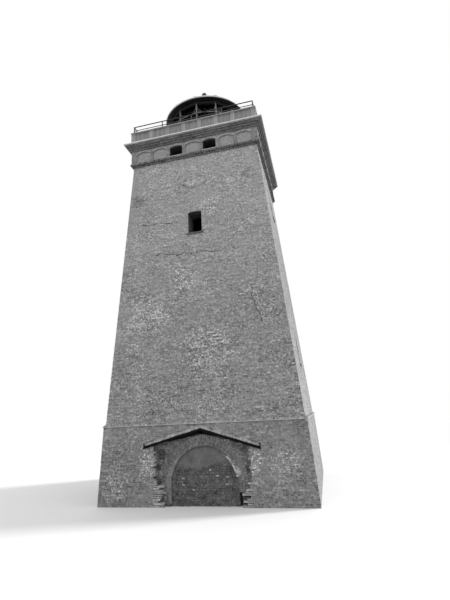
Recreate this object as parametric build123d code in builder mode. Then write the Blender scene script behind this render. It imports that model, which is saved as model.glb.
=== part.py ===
from build123d import *
from math import acos, asin, atan, cos, degrees, radians, sin, tan
import os

# Square brick lighthouse: plinth, battered shaft, frieze with cornice, gallery and domed lantern.
# Millimetres, +Z up, ground level at Z = 0. The front faces -Y and the right side +X.

# Plinth, the battered foot of the tower; its wall is measured at the head
plinth_foot_width = 7780
plinth_head_width = 7590
plinth_height = 2610
plinth_wall = 960

# Set-off, the weathered course where the shaft begins
setoff_height = 90
setoff_projection = 35
setoff_lip = 30

# Shaft, four battered walls
shaft_foot_width = 7470
shaft_head_width = 6080
shaft_height = 11650
shaft_wall = 800

# Corbel course under the frieze
corbel_courses = 2
corbel_course_height = 85
corbel_overhang = 40

# Frieze, seven bays to a side, with a window on each side of the middle bay
frieze_width = 6280
frieze_height = 730
frieze_wall = 600
bay_count = 7
bay_pitch = 830
bay_sill_height = 50
niche_width = 720
niche_height = 560
niche_rise = 110
niche_depth = 55
frieze_window_width = 640
frieze_window_height = 550
frieze_window_rise = 70

# Cornice, brick courses that step out under the gallery
cornice_courses = 4
cornice_course_height = 90
cornice_step = 70
cornice_bearing = 300

# Parapet round the gallery
parapet_width = 6340
parapet_height = 710
parapet_wall = 250
pilaster_width = 220
pilaster_projection = 30
coping_height = 60
coping_overhang = 25

# Railing on the coping
rail_inset = 110
rail_bays = 4
rail_post_size = 36
rail_post_height = 400
mid_rail_height = 170
mid_rail_depth = 40
mid_rail_thickness = 14
top_rail_width = 50
top_rail_height = 24

# Windows of the shaft: side, height of the sill above the ground
shaft_windows = (
    ("front", 10330),
    ("back", 10330),
    ("right", 4720),
    ("right", 11870),
    ("left", 4720),
    ("left", 11870),
)
window_width = 620
window_height = 1050
window_rise = 40
sill_width = 760
sill_thickness = 65
sill_seat = 240
sill_projection = 45

# Floors, each with the opening that people climb through
floor_thickness = 200
first_floor_level = 4050
second_floor_level = 9500
watch_room_level = 13300
hatch_size = 900
hatch_offset = 1250
deck_hatch_offset = 625

# Scar of a lost lean-to on the front: upright bare brickwork under its roof line
scar_depth = 80
scar_half_width = 1760
scar_roof_apex = 2440
scar_roof_eaves = 1850
scar_roof_reach = 2160
drip_width = 100
drip_projection = 38
drip_hook = 150
tooth_course = 70
tooth_length = 190
tooth_depth = 110
tooth_count = 11

# Doorway into the lean-to, closed with rubble
arch_radius = 1210
arch_spring = 660
arch_ring_width = 360
arch_ring_depth = 340
arch_offset = 70
infill_recess = 60
infill_thickness = 360
slot_width = 110
slot_depth = 300

# Lantern, the iron house of the lamp; its radius is that of the corners
lantern_sides = 12
first_post_turn = 0
lantern_radius = 2000
lantern_base_wall = 240
lantern_base_height = 1240
lantern_sill_height = 80
lantern_sill_overhang = 50
post_width = 60
post_depth = 90
glazing_height = 1400
transom_height = 860
transom_size = 40
glass_thickness = 10
bracket_radius = 230
bracket_flats = 3
bracket_width = 26
bracket_thickness = 24
bracket_bite = 6
head_height = 120
head_depth = 165
head_overhang = 30
eave_radius = 2300
eave_height = 110
gutter_lip = 30

# Dome: each side rises in flats, like the sheets that cover it
dome_radius = 2190
dome_rise = 1000
dome_shell = 30
dome_flats = 8
rib_width = 50
rib_height = 36

# Roof vent and finial
vent_radius = 260
vent_height = 400
vent_shell = 30
vent_cap_radius = 360
vent_cap_height = 260
ball_radius = 150
ball_flats = 6
ball_rise = 380
neck_radius = 40
tip_radius = 8
finial_height = 560

# Levels that follow from the heights
shaft_foot_level = plinth_height + setoff_height
shaft_head_level = shaft_foot_level + shaft_height
frieze_foot_level = shaft_head_level + corbel_courses * corbel_course_height
frieze_head_level = frieze_foot_level + frieze_height
cornice_height = cornice_courses * cornice_course_height
gallery_level = frieze_head_level + cornice_height
coping_level = gallery_level + parapet_height
railing_level = coping_level + coping_height
lantern_sill_level = gallery_level + lantern_base_height
glazing_level = lantern_sill_level + lantern_sill_height
head_level = glazing_level + glazing_height
eave_level = head_level + head_height
dome_level = eave_level + eave_height
crown_level = dome_level + dome_rise
vent_top_level = crown_level + vent_height

# Widths and angles that follow from the steps and the sides
deck_width = frieze_width - 2 * cornice_bearing
batter = (shaft_foot_width - shaft_head_width) / 2 / shaft_height
plinth_inner = plinth_head_width / 2 - plinth_wall
half_bay = 180 / lantern_sides
first_bay_turn = first_post_turn + half_bay
sides = {"front": 0, "right": 90, "back": 180, "left": 270}


def outward(turn):
    # Direction that a side faces, by its turn from the front
    return Vector(0, -1, 0).rotate(Axis.Z, turn)


def face_plane(turn, distance=0):
    # Upright plane on a side: x to the right, y up, looking outward
    facing = outward(turn)
    return Plane(origin=facing * distance, x_dir=Vector(1, 0, 0).rotate(Axis.Z, turn), z_dir=facing)


def profile_plane(turn):
    # Upright plane across a side's wall: x outward, y up
    facing = outward(turn)
    return Plane(origin=(0, 0, 0), x_dir=facing, z_dir=facing.cross(Vector(0, 0, 1)))


def shaft_half_width(level):
    return shaft_foot_width / 2 - batter * (level - shaft_foot_level)


def closed_outline(*points):
    with BuildSketch() as outline:
        with BuildLine():
            Polyline(*points, close=True)
        make_face()
    return outline.sketch


def wall_section(half_width, wall, bottom, top):
    # Section of an upright wall: x from the tower's axis, y up
    return closed_outline(
        (half_width - wall, bottom), (half_width, bottom), (half_width, top), (half_width - wall, top)
    )


def stepped_section(inner, first_reach, step, bottom, courses, course_height):
    # Section of brick courses that each stand out further than the one below
    points = [(inner, bottom)]
    for course in range(courses):
        bed = bottom + course * course_height
        points.append((first_reach + course * step, bed))
        points.append((first_reach + course * step, bed + course_height))
    return closed_outline(*points, (inner, bottom + courses * course_height))


def mitred_side(turn, section, half_corner=45):
    # One side of a ring with this wall section, cut at the mitres of its corners
    with BuildPart() as side:
        with BuildSketch(profile_plane(turn)):
            add(section)
        extrude(amount=plinth_foot_width, both=True)
        for swing in (half_corner - 90, 90 - half_corner):
            split(bisect_by=Plane(origin=(0, 0, 0), z_dir=outward(turn + swing)), keep=Keep.TOP)
    return side.part


def mitred_ring(section, side_count=4, first_turn=0):
    # All the sides of a ring, joined into one piece
    turn_step = 360 / side_count
    with BuildPart() as ring:
        for index in range(side_count):
            add(mitred_side(first_turn + index * turn_step, section, turn_step / 2))
    return ring.part


def lantern_ring(outer_radius, inner_radius, bottom, height):
    # Upright ring with the lantern's corners, its radii taken at those corners
    with BuildPart() as ring:
        with BuildSketch(Plane.XY.offset(bottom)):
            RegularPolygon(outer_radius, lantern_sides, rotation=first_post_angle)
            RegularPolygon(inner_radius, lantern_sides, rotation=first_post_angle, mode=Mode.SUBTRACT)
        extrude(amount=height)
    return ring.part


class ArchHeaded(BaseSketchObject):
    # Upright outline with a segmental head, its sill centred on the origin
    def __init__(self, width, height, rise, mode=Mode.ADD):
        spring = height - rise
        with BuildSketch() as outline:
            with BuildLine():
                Polyline((-width / 2, spring), (-width / 2, 0), (width / 2, 0), (width / 2, spring))
                ThreePointArc((width / 2, spring), (0, height), (-width / 2, spring))
            make_face()
        super().__init__(outline.sketch, 0, None, mode)


class RoundArch(BaseSketchObject):
    # Upright outline of an arched doorway that stands on the ground
    def __init__(self, radius, spring, mode=Mode.ADD):
        with BuildSketch() as outline:
            with BuildLine():
                Polyline((-radius, spring), (-radius, 0), (radius, 0), (radius, spring))
                ThreePointArc((radius, spring), (0, spring + radius), (-radius, spring))
            make_face()
        super().__init__(outline.sketch, 0, None, mode)


class HalfRound(BaseSketchObject):
    # Upper half of a disc, its centre on the origin
    def __init__(self, radius, mode=Mode.ADD):
        with BuildSketch() as outline:
            Circle(radius)
            Rectangle(2 * radius, radius, align=(Align.CENTER, Align.MAX), mode=Mode.SUBTRACT)
        super().__init__(outline.sketch, 0, None, mode)


def save(piece, name):
    piece.label = name
    export_step(piece, f"parts/{name}.step")


os.makedirs("parts", exist_ok=True)

# Plinth walls. The front one holds the scar of the lean-to and its closed doorway.
plinth_section = closed_outline(
    (plinth_inner, 0),
    (plinth_foot_width / 2, 0),
    (plinth_head_width / 2, plinth_height),
    (plinth_inner, plinth_height),
)
scar_floor = plinth_head_width / 2 - scar_depth
scar_shoulder = scar_roof_apex - (scar_roof_apex - scar_roof_eaves) * scar_half_width / scar_roof_reach
slot_centre = arch_offset + arch_radius + slot_width / 2

for side_name, turn in sides.items():
    with BuildPart() as plinth:
        add(mitred_side(turn, plinth_section))
        if side_name == "front":
            with BuildSketch(face_plane(turn, scar_floor)):
                with BuildLine():
                    Polyline(
                        (-scar_half_width, 0),
                        (scar_half_width, 0),
                        (scar_half_width, scar_shoulder),
                        (0, scar_roof_apex),
                        (-scar_half_width, scar_shoulder),
                        close=True,
                    )
                make_face()
            extrude(amount=plinth_foot_width / 2 - scar_floor, mode=Mode.SUBTRACT)
            with BuildSketch(face_plane(turn, scar_floor)):
                with Locations((arch_offset, 0)):
                    RoundArch(arch_radius, arch_spring)
            extrude(amount=-plinth_wall, mode=Mode.SUBTRACT)
            with BuildSketch(face_plane(turn, scar_floor)):
                with Locations((arch_offset, arch_spring)):
                    HalfRound(arch_radius + arch_ring_width)
            extrude(amount=-arch_ring_depth, mode=Mode.SUBTRACT)
            with BuildSketch(face_plane(turn, scar_floor)):
                with Locations((slot_centre, 0)):
                    Rectangle(slot_width, arch_spring, align=(Align.CENTER, Align.MIN))
            extrude(amount=-slot_depth, mode=Mode.SUBTRACT)
    save(plinth.part, f"{side_name}_plinth")

# Arch ring, seated in the scar round the doorway
with BuildPart() as arch_ring:
    with BuildSketch(face_plane(0, scar_floor)):
        with Locations((arch_offset, arch_spring)):
            HalfRound(arch_radius + arch_ring_width)
            HalfRound(arch_radius, mode=Mode.SUBTRACT)
    extrude(amount=-arch_ring_depth)
save(arch_ring.part, "arch_ring")

# Rubble that closes the doorway, set back behind the ring
with BuildPart() as arch_infill:
    with BuildSketch(face_plane(0, scar_floor - infill_recess)):
        with Locations((arch_offset, 0)):
            RoundArch(arch_radius, arch_spring)
    extrude(amount=-infill_thickness)
save(arch_infill.part, "arch_infill")

# Drip course of the lost roof: a bent strip with a short hook at each end, laid on the battered face
drip_section = closed_outline(
    (plinth_foot_width / 2, 0),
    (plinth_foot_width / 2 + drip_projection, 0),
    (plinth_head_width / 2 + drip_projection, plinth_height),
    (plinth_head_width / 2, plinth_height),
)
with BuildPart() as gable_drip:
    add(mitred_side(0, drip_section))
    with BuildSketch(face_plane(0)):
        with BuildLine():
            lower_edge = Polyline(
                (-scar_roof_reach - drip_hook, scar_roof_eaves),
                (-scar_roof_reach, scar_roof_eaves),
                (0, scar_roof_apex),
                (scar_roof_reach, scar_roof_eaves),
                (scar_roof_reach + drip_hook, scar_roof_eaves),
            )
            offset(lower_edge, amount=drip_width, side=Side.LEFT)
        make_face()
    extrude(amount=plinth_foot_width, mode=Mode.INTERSECT)
save(gable_drip.part, "gable_drip")

# Broken ends of the lean-to's walls, every other course still in the tower
with BuildPart() as toothing_bricks:
    with BuildSketch(face_plane(0, scar_floor)):
        for side_sign in (-1, 1):
            with Locations((side_sign * (scar_half_width - tooth_length / 2), tooth_course / 2)):
                with GridLocations(0, 2 * tooth_course, 1, tooth_count, align=(Align.CENTER, Align.MIN)):
                    Rectangle(tooth_length, tooth_course)
    extrude(amount=tooth_depth)
save(toothing_bricks.part, "toothing_bricks")

# Set-off course: a ring with a sloping top that carries the shaft
setoff_outer = plinth_head_width / 2 + setoff_projection
with BuildPart() as setoff_course:
    add(
        mitred_ring(
            closed_outline(
                (plinth_inner, plinth_height),
                (setoff_outer, plinth_height),
                (setoff_outer, plinth_height + setoff_lip),
                (shaft_foot_width / 2, shaft_foot_level),
                (plinth_inner, shaft_foot_level),
            )
        )
    )
save(setoff_course.part, "setoff_course")

# Shaft walls, battered alike outside and inside, with their windows cut through
shaft_section = closed_outline(
    (shaft_foot_width / 2 - shaft_wall, shaft_foot_level),
    (shaft_foot_width / 2, shaft_foot_level),
    (shaft_head_width / 2, shaft_head_level),
    (shaft_head_width / 2 - shaft_wall, shaft_head_level),
)
for side_name, turn in sides.items():
    sills = [level for owner, level in shaft_windows if owner == side_name]
    with BuildPart() as wall:
        add(mitred_side(turn, shaft_section))
        with BuildSketch(face_plane(turn)):
            with Locations([(0, sill) for sill in sills]):
                ArchHeaded(window_width, window_height, window_rise)
        extrude(amount=shaft_foot_width / 2, mode=Mode.SUBTRACT)
        for sill in sills:
            with BuildSketch(face_plane(turn, shaft_half_width(sill) - sill_seat)):
                with Locations((0, sill)):
                    Rectangle(sill_width, sill_thickness, align=(Align.CENTER, Align.MAX))
            extrude(amount=sill_seat + sill_projection, mode=Mode.SUBTRACT)
    save(wall.part, f"{side_name}_wall")

# Sill stones, let into the walls and standing out of them
with BuildPart() as window_sills:
    for owner, sill in shaft_windows:
        with BuildSketch(face_plane(sides[owner], shaft_half_width(sill) - sill_seat)):
            with Locations((0, sill)):
                Rectangle(sill_width, sill_thickness, align=(Align.CENTER, Align.MAX))
        extrude(amount=sill_seat + sill_projection)
save(window_sills.part, "window_sills")

# Ground floor, between the plinth walls
with BuildPart() as ground_floor:
    with BuildSketch():
        Rectangle(2 * plinth_inner, 2 * plinth_inner)
    extrude(amount=floor_thickness)
save(ground_floor.part, "ground_floor")

# Upper floors, each cut to the battered walls round it, with its hatch
upper_floors = {
    "first_floor": (first_floor_level, hatch_offset),
    "second_floor": (second_floor_level, -hatch_offset),
    "watch_room_floor": (watch_room_level, hatch_offset),
}
for floor_name, (level, hatch_centre) in upper_floors.items():
    underside = level - floor_thickness
    floor_width = 2 * (shaft_half_width(underside) - shaft_wall)
    with BuildPart() as upper_floor:
        with BuildSketch(Plane.XY.offset(underside)):
            Rectangle(floor_width, floor_width)
        extrude(amount=floor_thickness, taper=degrees(atan(batter)))
        with BuildSketch(Plane.XY.offset(underside)):
            with Locations((hatch_centre, 0)):
                Rectangle(hatch_size, hatch_size)
        extrude(amount=floor_thickness, mode=Mode.SUBTRACT)
    save(upper_floor.part, floor_name)

# Corbel course, from the head of the shaft out to the frieze
corbel_step = (frieze_width / 2 + corbel_overhang - shaft_head_width / 2) / corbel_courses
with BuildPart() as corbel_course:
    add(
        mitred_ring(
            stepped_section(
                frieze_width / 2 - frieze_wall,
                shaft_head_width / 2 + corbel_step,
                corbel_step,
                shaft_head_level,
                corbel_courses,
                corbel_course_height,
            )
        )
    )
save(corbel_course.part, "corbel_course")

# Frieze walls: arched niches, with a window in two of the bays
frieze_section = wall_section(frieze_width / 2, frieze_wall, frieze_foot_level, frieze_head_level)
bay_sill_level = frieze_foot_level + bay_sill_height
bay_centres = [(bay - (bay_count - 1) / 2) * bay_pitch for bay in range(bay_count)]
window_centres = (-bay_pitch, bay_pitch)
niche_centres = [centre for centre in bay_centres if centre not in window_centres]
for side_name, turn in sides.items():
    with BuildPart() as frieze:
        add(mitred_side(turn, frieze_section))
        with BuildSketch(face_plane(turn, frieze_width / 2)):
            with Locations([(centre, bay_sill_level) for centre in niche_centres]):
                ArchHeaded(niche_width, niche_height, niche_rise)
        extrude(amount=-niche_depth, mode=Mode.SUBTRACT)
        with BuildSketch(face_plane(turn, frieze_width / 2)):
            with Locations([(centre, bay_sill_level) for centre in window_centres]):
                ArchHeaded(frieze_window_width, frieze_window_height, frieze_window_rise)
        extrude(amount=-frieze_wall, mode=Mode.SUBTRACT)
    save(frieze.part, f"{side_name}_frieze")

# Cornice: courses that step out to the edge of the gallery
with BuildPart() as cornice:
    add(
        mitred_ring(
            stepped_section(
                deck_width / 2,
                frieze_width / 2 + cornice_step,
                cornice_step,
                frieze_head_level,
                cornice_courses,
                cornice_course_height,
            )
        )
    )
save(cornice.part, "cornice")

# Gallery deck, laid on the frieze walls inside the cornice, with the hatch into the lantern
with BuildPart() as gallery_deck:
    with BuildSketch(Plane.XY.offset(frieze_head_level)):
        Rectangle(deck_width, deck_width)
        with Locations((0, deck_hatch_offset)):
            Rectangle(hatch_size, hatch_size, mode=Mode.SUBTRACT)
    extrude(amount=cornice_height)
save(gallery_deck.part, "gallery_deck")

# Parapet walls, with a pilaster at each bay and each corner
panel_half_width = parapet_width / 2 - pilaster_projection
parapet_section = wall_section(parapet_width / 2, parapet_wall, gallery_level, coping_level)
panel_width = bay_pitch - pilaster_width
last_pilaster_edge = (bay_count / 2 - 1) * bay_pitch + pilaster_width / 2
end_panel_width = parapet_width / 2 - pilaster_width - last_pilaster_edge
end_panel_centre = last_pilaster_edge + end_panel_width / 2
for side_name, turn in sides.items():
    with BuildPart() as parapet:
        add(mitred_side(turn, parapet_section))
        with BuildSketch(face_plane(turn, panel_half_width)):
            with Locations((0, (gallery_level + coping_level) / 2)):
                with GridLocations(bay_pitch, 0, bay_count - 2, 1):
                    Rectangle(panel_width, parapet_height)
                with Locations((-end_panel_centre, 0), (end_panel_centre, 0)):
                    Rectangle(end_panel_width, parapet_height)
        extrude(amount=pilaster_projection, mode=Mode.SUBTRACT)
    save(parapet.part, f"{side_name}_parapet")

# Coping over the parapet
coping_section = wall_section(
    parapet_width / 2 + coping_overhang, parapet_wall + 2 * coping_overhang, coping_level, railing_level
)
with BuildPart() as parapet_coping:
    add(mitred_ring(coping_section))
save(parapet_coping.part, "parapet_coping")

# Railing: square posts along the coping, a flat bar between them and a handrail over them
rail_half_width = parapet_width / 2 - rail_inset
post_pitch = 2 * rail_half_width / rail_bays
top_rail_level = railing_level + rail_post_height
with BuildPart() as railing_posts:
    with BuildSketch(Plane.XY.offset(railing_level)):
        with GridLocations(post_pitch, 2 * rail_half_width, rail_bays + 1, 2):
            Rectangle(rail_post_size, rail_post_size)
        with GridLocations(2 * rail_half_width, post_pitch, 2, rail_bays - 1):
            Rectangle(rail_post_size, rail_post_size)
    extrude(amount=rail_post_height)
save(railing_posts.part, "railing_posts")

mid_rail_level = railing_level + mid_rail_height
mid_rail_outer = rail_half_width + mid_rail_thickness / 2
mid_rail_section = wall_section(
    mid_rail_outer, mid_rail_thickness, mid_rail_level, mid_rail_level + mid_rail_depth
)
with BuildPart() as mid_rail:
    add(mitred_ring(mid_rail_section))
    add(railing_posts.part, mode=Mode.SUBTRACT)
save(mid_rail.part, "mid_rail")

top_rail_outer = rail_half_width + top_rail_width / 2
top_rail_section = wall_section(
    top_rail_outer, top_rail_width, top_rail_level, top_rail_level + top_rail_height
)
with BuildPart() as top_rail:
    add(mitred_ring(top_rail_section))
save(top_rail.part, "top_rail")

# Lantern base, the iron wall that carries the glazing
first_post_angle = first_post_turn - 90
base_inner = lantern_radius - lantern_base_wall
with BuildPart() as lantern_base:
    add(lantern_ring(lantern_radius, base_inner, gallery_level, lantern_base_height))
save(lantern_base.part, "lantern_base")

# Sill ring under the glazing, weathered along its outer edge
sill_outer = lantern_radius + lantern_sill_overhang
with BuildPart() as lantern_sill:
    add(lantern_ring(sill_outer, base_inner, lantern_sill_level, lantern_sill_height))
    rim = lantern_sill.edges().group_by(Axis.Z)[-1].group_by(SortBy.LENGTH)[-1]
    chamfer(rim, lantern_sill_height / 2, lantern_sill_overhang / 2)
save(lantern_sill.part, "lantern_sill")

# Glazing posts, at the corners of the lantern's panes
post_centre = lantern_radius - post_depth / 2
with BuildPart() as lantern_posts:
    with BuildSketch(Plane.XY.offset(glazing_level)):
        with PolarLocations(post_centre, lantern_sides, start_angle=first_post_angle):
            Rectangle(post_depth, post_width)
    extrude(amount=glazing_height)
save(lantern_posts.part, "lantern_posts")


def bay_ring(thickness, bottom, height):
    # Ring of flat bays, parted by the posts; its thickness is square to the panes
    half_depth = thickness / 2 / cos(radians(half_bay))
    with BuildPart() as ring:
        add(lantern_ring(post_centre + half_depth, post_centre - half_depth, bottom, height))
        add(lantern_posts.part, mode=Mode.SUBTRACT)
    return ring.part


# Transom bars between the posts
transom_level = glazing_level + transom_height
with BuildPart() as transom_bars:
    add(bay_ring(transom_size, transom_level, transom_size))
save(transom_bars.part, "transom_bars")

# Panes, one below and one above each transom bar
upper_pane_level = transom_level + transom_size
with BuildPart() as lantern_glass:
    add(bay_ring(glass_thickness, glazing_level, transom_height))
    add(bay_ring(glass_thickness, upper_pane_level, head_level - upper_pane_level))
save(lantern_glass.part, "lantern_glass")

# Brackets of bent bar from the posts to the head ring, outside the panes
pane_distance = post_centre * cos(radians(half_bay))
bracket_distance = pane_distance + glass_thickness / 2
post_face = pane_distance * tan(radians(half_bay)) - post_width / 2 / cos(radians(half_bay))
bracket_foot = post_face + (glass_thickness / 2 + bracket_thickness) * tan(radians(half_bay))
bracket_centre = (bracket_foot - bracket_radius, head_level + bracket_bite - bracket_radius)
with BuildPart() as post_brackets:
    for bay in range(lantern_sides):
        with BuildSketch(face_plane(first_bay_turn + 2 * bay * half_bay, bracket_distance)):
            with Locations(bracket_centre):
                RegularPolygon(bracket_radius, 4 * bracket_flats)
                RegularPolygon(bracket_radius - bracket_width, 4 * bracket_flats, mode=Mode.SUBTRACT)
                Rectangle(
                    bracket_radius,
                    bracket_radius - bracket_bite,
                    align=(Align.MIN, Align.MIN),
                    mode=Mode.INTERSECT,
                )
            mirror(about=Plane.YZ)
        extrude(amount=bracket_thickness)
    add(lantern_posts.part, mode=Mode.SUBTRACT)
save(post_brackets.part, "post_brackets")

# Head ring over the posts
head_radius = lantern_radius + head_overhang
head_inner = head_radius - head_depth
with BuildPart() as head_ring:
    add(lantern_ring(head_radius, head_inner, head_level, head_height))
save(head_ring.part, "head_ring")

# Eave: a round ring that flares out to the lip of its gutter
with BuildPart() as eave_gutter:
    with BuildSketch(Plane.XZ):
        add(
            closed_outline(
                (head_radius, eave_level),
                (eave_radius, dome_level - gutter_lip),
                (eave_radius, dome_level),
                (head_inner, dome_level),
                (head_inner, eave_level),
            )
        )
    revolve(axis=Axis.Z)
save(eave_gutter.part, "eave_gutter")

# Dome: bent sheets between the ribs, open at the crown under the vent
dome_sphere = (dome_radius**2 + dome_rise**2) / (2 * dome_rise)
dome_centre_level = crown_level - dome_sphere
foot_angle = degrees(asin((dome_level - dome_centre_level) / dome_sphere))
crown_angle = degrees(acos((vent_radius - vent_shell) / dome_sphere))


def dome_line(distance, stretch=1):
    # Bent line from foot to crown at this distance from the dome's centre, stretched sideways
    angles = [foot_angle + (crown_angle - foot_angle) * flat / dome_flats for flat in range(dome_flats + 1)]
    return [
        (stretch * distance * cos(radians(angle)), dome_centre_level + distance * sin(radians(angle)))
        for angle in angles
    ]


def dome_section(outer, inner, stretch=1):
    # Section between two such lines, cut level on the eave
    with BuildSketch() as section:
        add(closed_outline(*dome_line(outer, stretch), *reversed(dome_line(inner, stretch))))
        with Locations((0, dome_level)):
            Rectangle(2 * dome_radius, 2 * dome_rise, align=(Align.MIN, Align.MIN), mode=Mode.INTERSECT)
    return section.sketch


with BuildPart() as lantern_dome:
    dome_sheet = dome_section(dome_sphere, dome_sphere - dome_shell)
    add(mitred_ring(dome_sheet, lantern_sides, first_bay_turn))
save(lantern_dome.part, "lantern_dome")

# Ribs on the dome, one up each of its corners
corner_stretch = 1 / cos(radians(half_bay))
rib_section = dome_section(dome_sphere + rib_height, dome_sphere - dome_shell / 2, corner_stretch)
with BuildPart() as dome_ribs:
    for rib in range(lantern_sides):
        with BuildSketch(profile_plane(first_post_turn + 2 * rib * half_bay)):
            add(rib_section)
            with Locations((vent_cap_radius, dome_level)):
                Rectangle(
                    eave_radius - vent_cap_radius,
                    2 * dome_rise,
                    align=(Align.MIN, Align.MIN),
                    mode=Mode.INTERSECT,
                )
        extrude(amount=rib_width / 2, both=True)
    add(lantern_dome.part, mode=Mode.SUBTRACT)
save(dome_ribs.part, "dome_ribs")

# Roof vent: a drum that stands on the dome, under a pointed cap, with the dome's sides
drum_section = wall_section(vent_radius, vent_shell, crown_level - dome_shell, vent_top_level)
cap_section = closed_outline(
    (0, vent_top_level),
    (vent_cap_radius, vent_top_level),
    (vent_cap_radius, vent_top_level + vent_shell),
    (neck_radius, vent_top_level + vent_cap_height),
    (0, vent_top_level + vent_cap_height),
)
with BuildPart() as roof_vent:
    add(mitred_ring(drum_section, lantern_sides, first_bay_turn))
    add(lantern_dome.part, mode=Mode.SUBTRACT)
    add(mitred_ring(cap_section, lantern_sides, first_bay_turn))
save(roof_vent.part, "roof_vent")

# Finial: a ball of bent sheets on a neck that tapers to a point
finial_foot = vent_top_level + vent_cap_height
ball_level = finial_foot + ball_rise
ball_angles = [radians(flat * 180 / ball_flats - 90) for flat in range(ball_flats + 1)]
ball_points = [(ball_radius * cos(angle), ball_level + ball_radius * sin(angle)) for angle in ball_angles]
with BuildSketch() as finial_section:
    add(
        closed_outline(
            (0, finial_foot),
            (neck_radius, finial_foot),
            (tip_radius, finial_foot + finial_height),
            (0, finial_foot + finial_height),
        )
    )
    add(closed_outline(*ball_points))
with BuildPart() as finial:
    add(mitred_ring(finial_section.sketch, lantern_sides, first_bay_turn))
save(finial.part, "finial")
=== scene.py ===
import math

import bpy
import numpy as np
from mathutils import Matrix, Vector


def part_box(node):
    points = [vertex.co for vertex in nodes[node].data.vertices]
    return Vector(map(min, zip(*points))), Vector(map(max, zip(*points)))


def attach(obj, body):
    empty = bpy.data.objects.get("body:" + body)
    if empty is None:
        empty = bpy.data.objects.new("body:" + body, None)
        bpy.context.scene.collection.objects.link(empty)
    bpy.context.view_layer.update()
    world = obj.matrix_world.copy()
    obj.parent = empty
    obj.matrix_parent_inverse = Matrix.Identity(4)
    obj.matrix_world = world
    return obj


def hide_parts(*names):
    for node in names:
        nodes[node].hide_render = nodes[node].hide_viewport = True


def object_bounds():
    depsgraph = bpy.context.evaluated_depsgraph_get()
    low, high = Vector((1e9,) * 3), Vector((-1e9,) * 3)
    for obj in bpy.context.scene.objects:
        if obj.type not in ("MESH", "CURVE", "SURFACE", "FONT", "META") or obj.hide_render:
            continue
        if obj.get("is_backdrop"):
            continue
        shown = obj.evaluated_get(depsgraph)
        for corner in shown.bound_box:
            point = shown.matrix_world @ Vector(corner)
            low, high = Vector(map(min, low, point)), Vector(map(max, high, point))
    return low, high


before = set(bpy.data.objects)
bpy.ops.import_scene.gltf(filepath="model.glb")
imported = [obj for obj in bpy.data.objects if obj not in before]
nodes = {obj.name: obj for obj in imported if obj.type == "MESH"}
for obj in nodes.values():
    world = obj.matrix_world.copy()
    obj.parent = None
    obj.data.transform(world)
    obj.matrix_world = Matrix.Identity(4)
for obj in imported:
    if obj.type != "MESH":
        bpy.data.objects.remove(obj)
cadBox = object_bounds()
print("frame loaded:", len(nodes), "nodes")

sides = {"front": 0, "right": 90, "back": 180, "left": 270}


def footOf(node):
    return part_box(node)[0].z


def topOf(node):
    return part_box(node)[1].z


def halfOf(node):
    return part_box(node)[1].x


def widthAt(node, level):
    # how far a node reaches along x, at one of its edges' levels
    return max(v.co.x for v in nodes[node].data.vertices if abs(v.co.z - level) < 0.001)


# levels and half widths of the tower, read from its solids
tower = {
    "plinthTop": topOf("front_plinth"),
    "plinthFootHalf": halfOf("right_plinth"),
    "shaftFoot": footOf("front_wall"),
    "shaftHead": topOf("front_wall"),
    "friezeFoot": footOf("front_frieze"),
    "friezeHead": topOf("front_frieze"),
    "friezeHalf": halfOf("right_frieze"),
    "gallery": topOf("cornice"),
    "corniceHalf": halfOf("cornice"),
    "parapetHalf": halfOf("right_parapet"),
    "copingFoot": footOf("parapet_coping"),
    "copingHead": topOf("parapet_coping"),
    "eaveHalf": halfOf("eave_gutter"),
}
tower["shaftFootHalf"] = widthAt("front_wall", tower["shaftFoot"])
tower["shaftHeadHalf"] = widthAt("front_wall", tower["shaftHead"])
tower["plinthHeadHalf"] = widthAt("right_plinth", tower["plinthTop"])
tower["plinthBatter"] = (tower["plinthFootHalf"] - tower["plinthHeadHalf"]) / tower["plinthTop"]
shaftHigh = tower["shaftHead"] - tower["shaftFoot"]
tower["batter"] = (tower["shaftFootHalf"] - tower["shaftHeadHalf"]) / shaftHigh


# Materials: an expression on wires adds Math nodes, every other node comes from Finish.node
class Wire:
    def __init__(self, finish, socket):
        self.finish = finish
        self.socket = socket

    def math(self, operation, *values):
        return self.finish.node("ShaderNodeMath", {"operation": operation}, dict(enumerate(values)))

    def __add__(self, other):
        return self.math("ADD", self, other)

    __radd__ = __add__

    def __sub__(self, other):
        return self.math("SUBTRACT", self, other)

    def __rsub__(self, other):
        return self.math("SUBTRACT", other, self)

    def __mul__(self, other):
        return self.math("MULTIPLY", self, other)

    __rmul__ = __mul__

    def __truediv__(self, other):
        return self.math("DIVIDE", self, other)

    def __pow__(self, other):
        return self.math("POWER", self, other)

    def __abs__(self):
        return self.math("ABSOLUTE", self)

    def least(self, other):
        return self.math("MINIMUM", self, other)

    def most(self, other):
        return self.math("MAXIMUM", self, other)

    def step(self, low, high):
        # 0 below low, 1 above high, smooth between
        settings = {"interpolation_type": "SMOOTHSTEP", "clamp": True}
        sockets = {"Value": self, "From Min": low, "From Max": high}
        return self.finish.node("ShaderNodeMapRange", settings, sockets)


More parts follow.
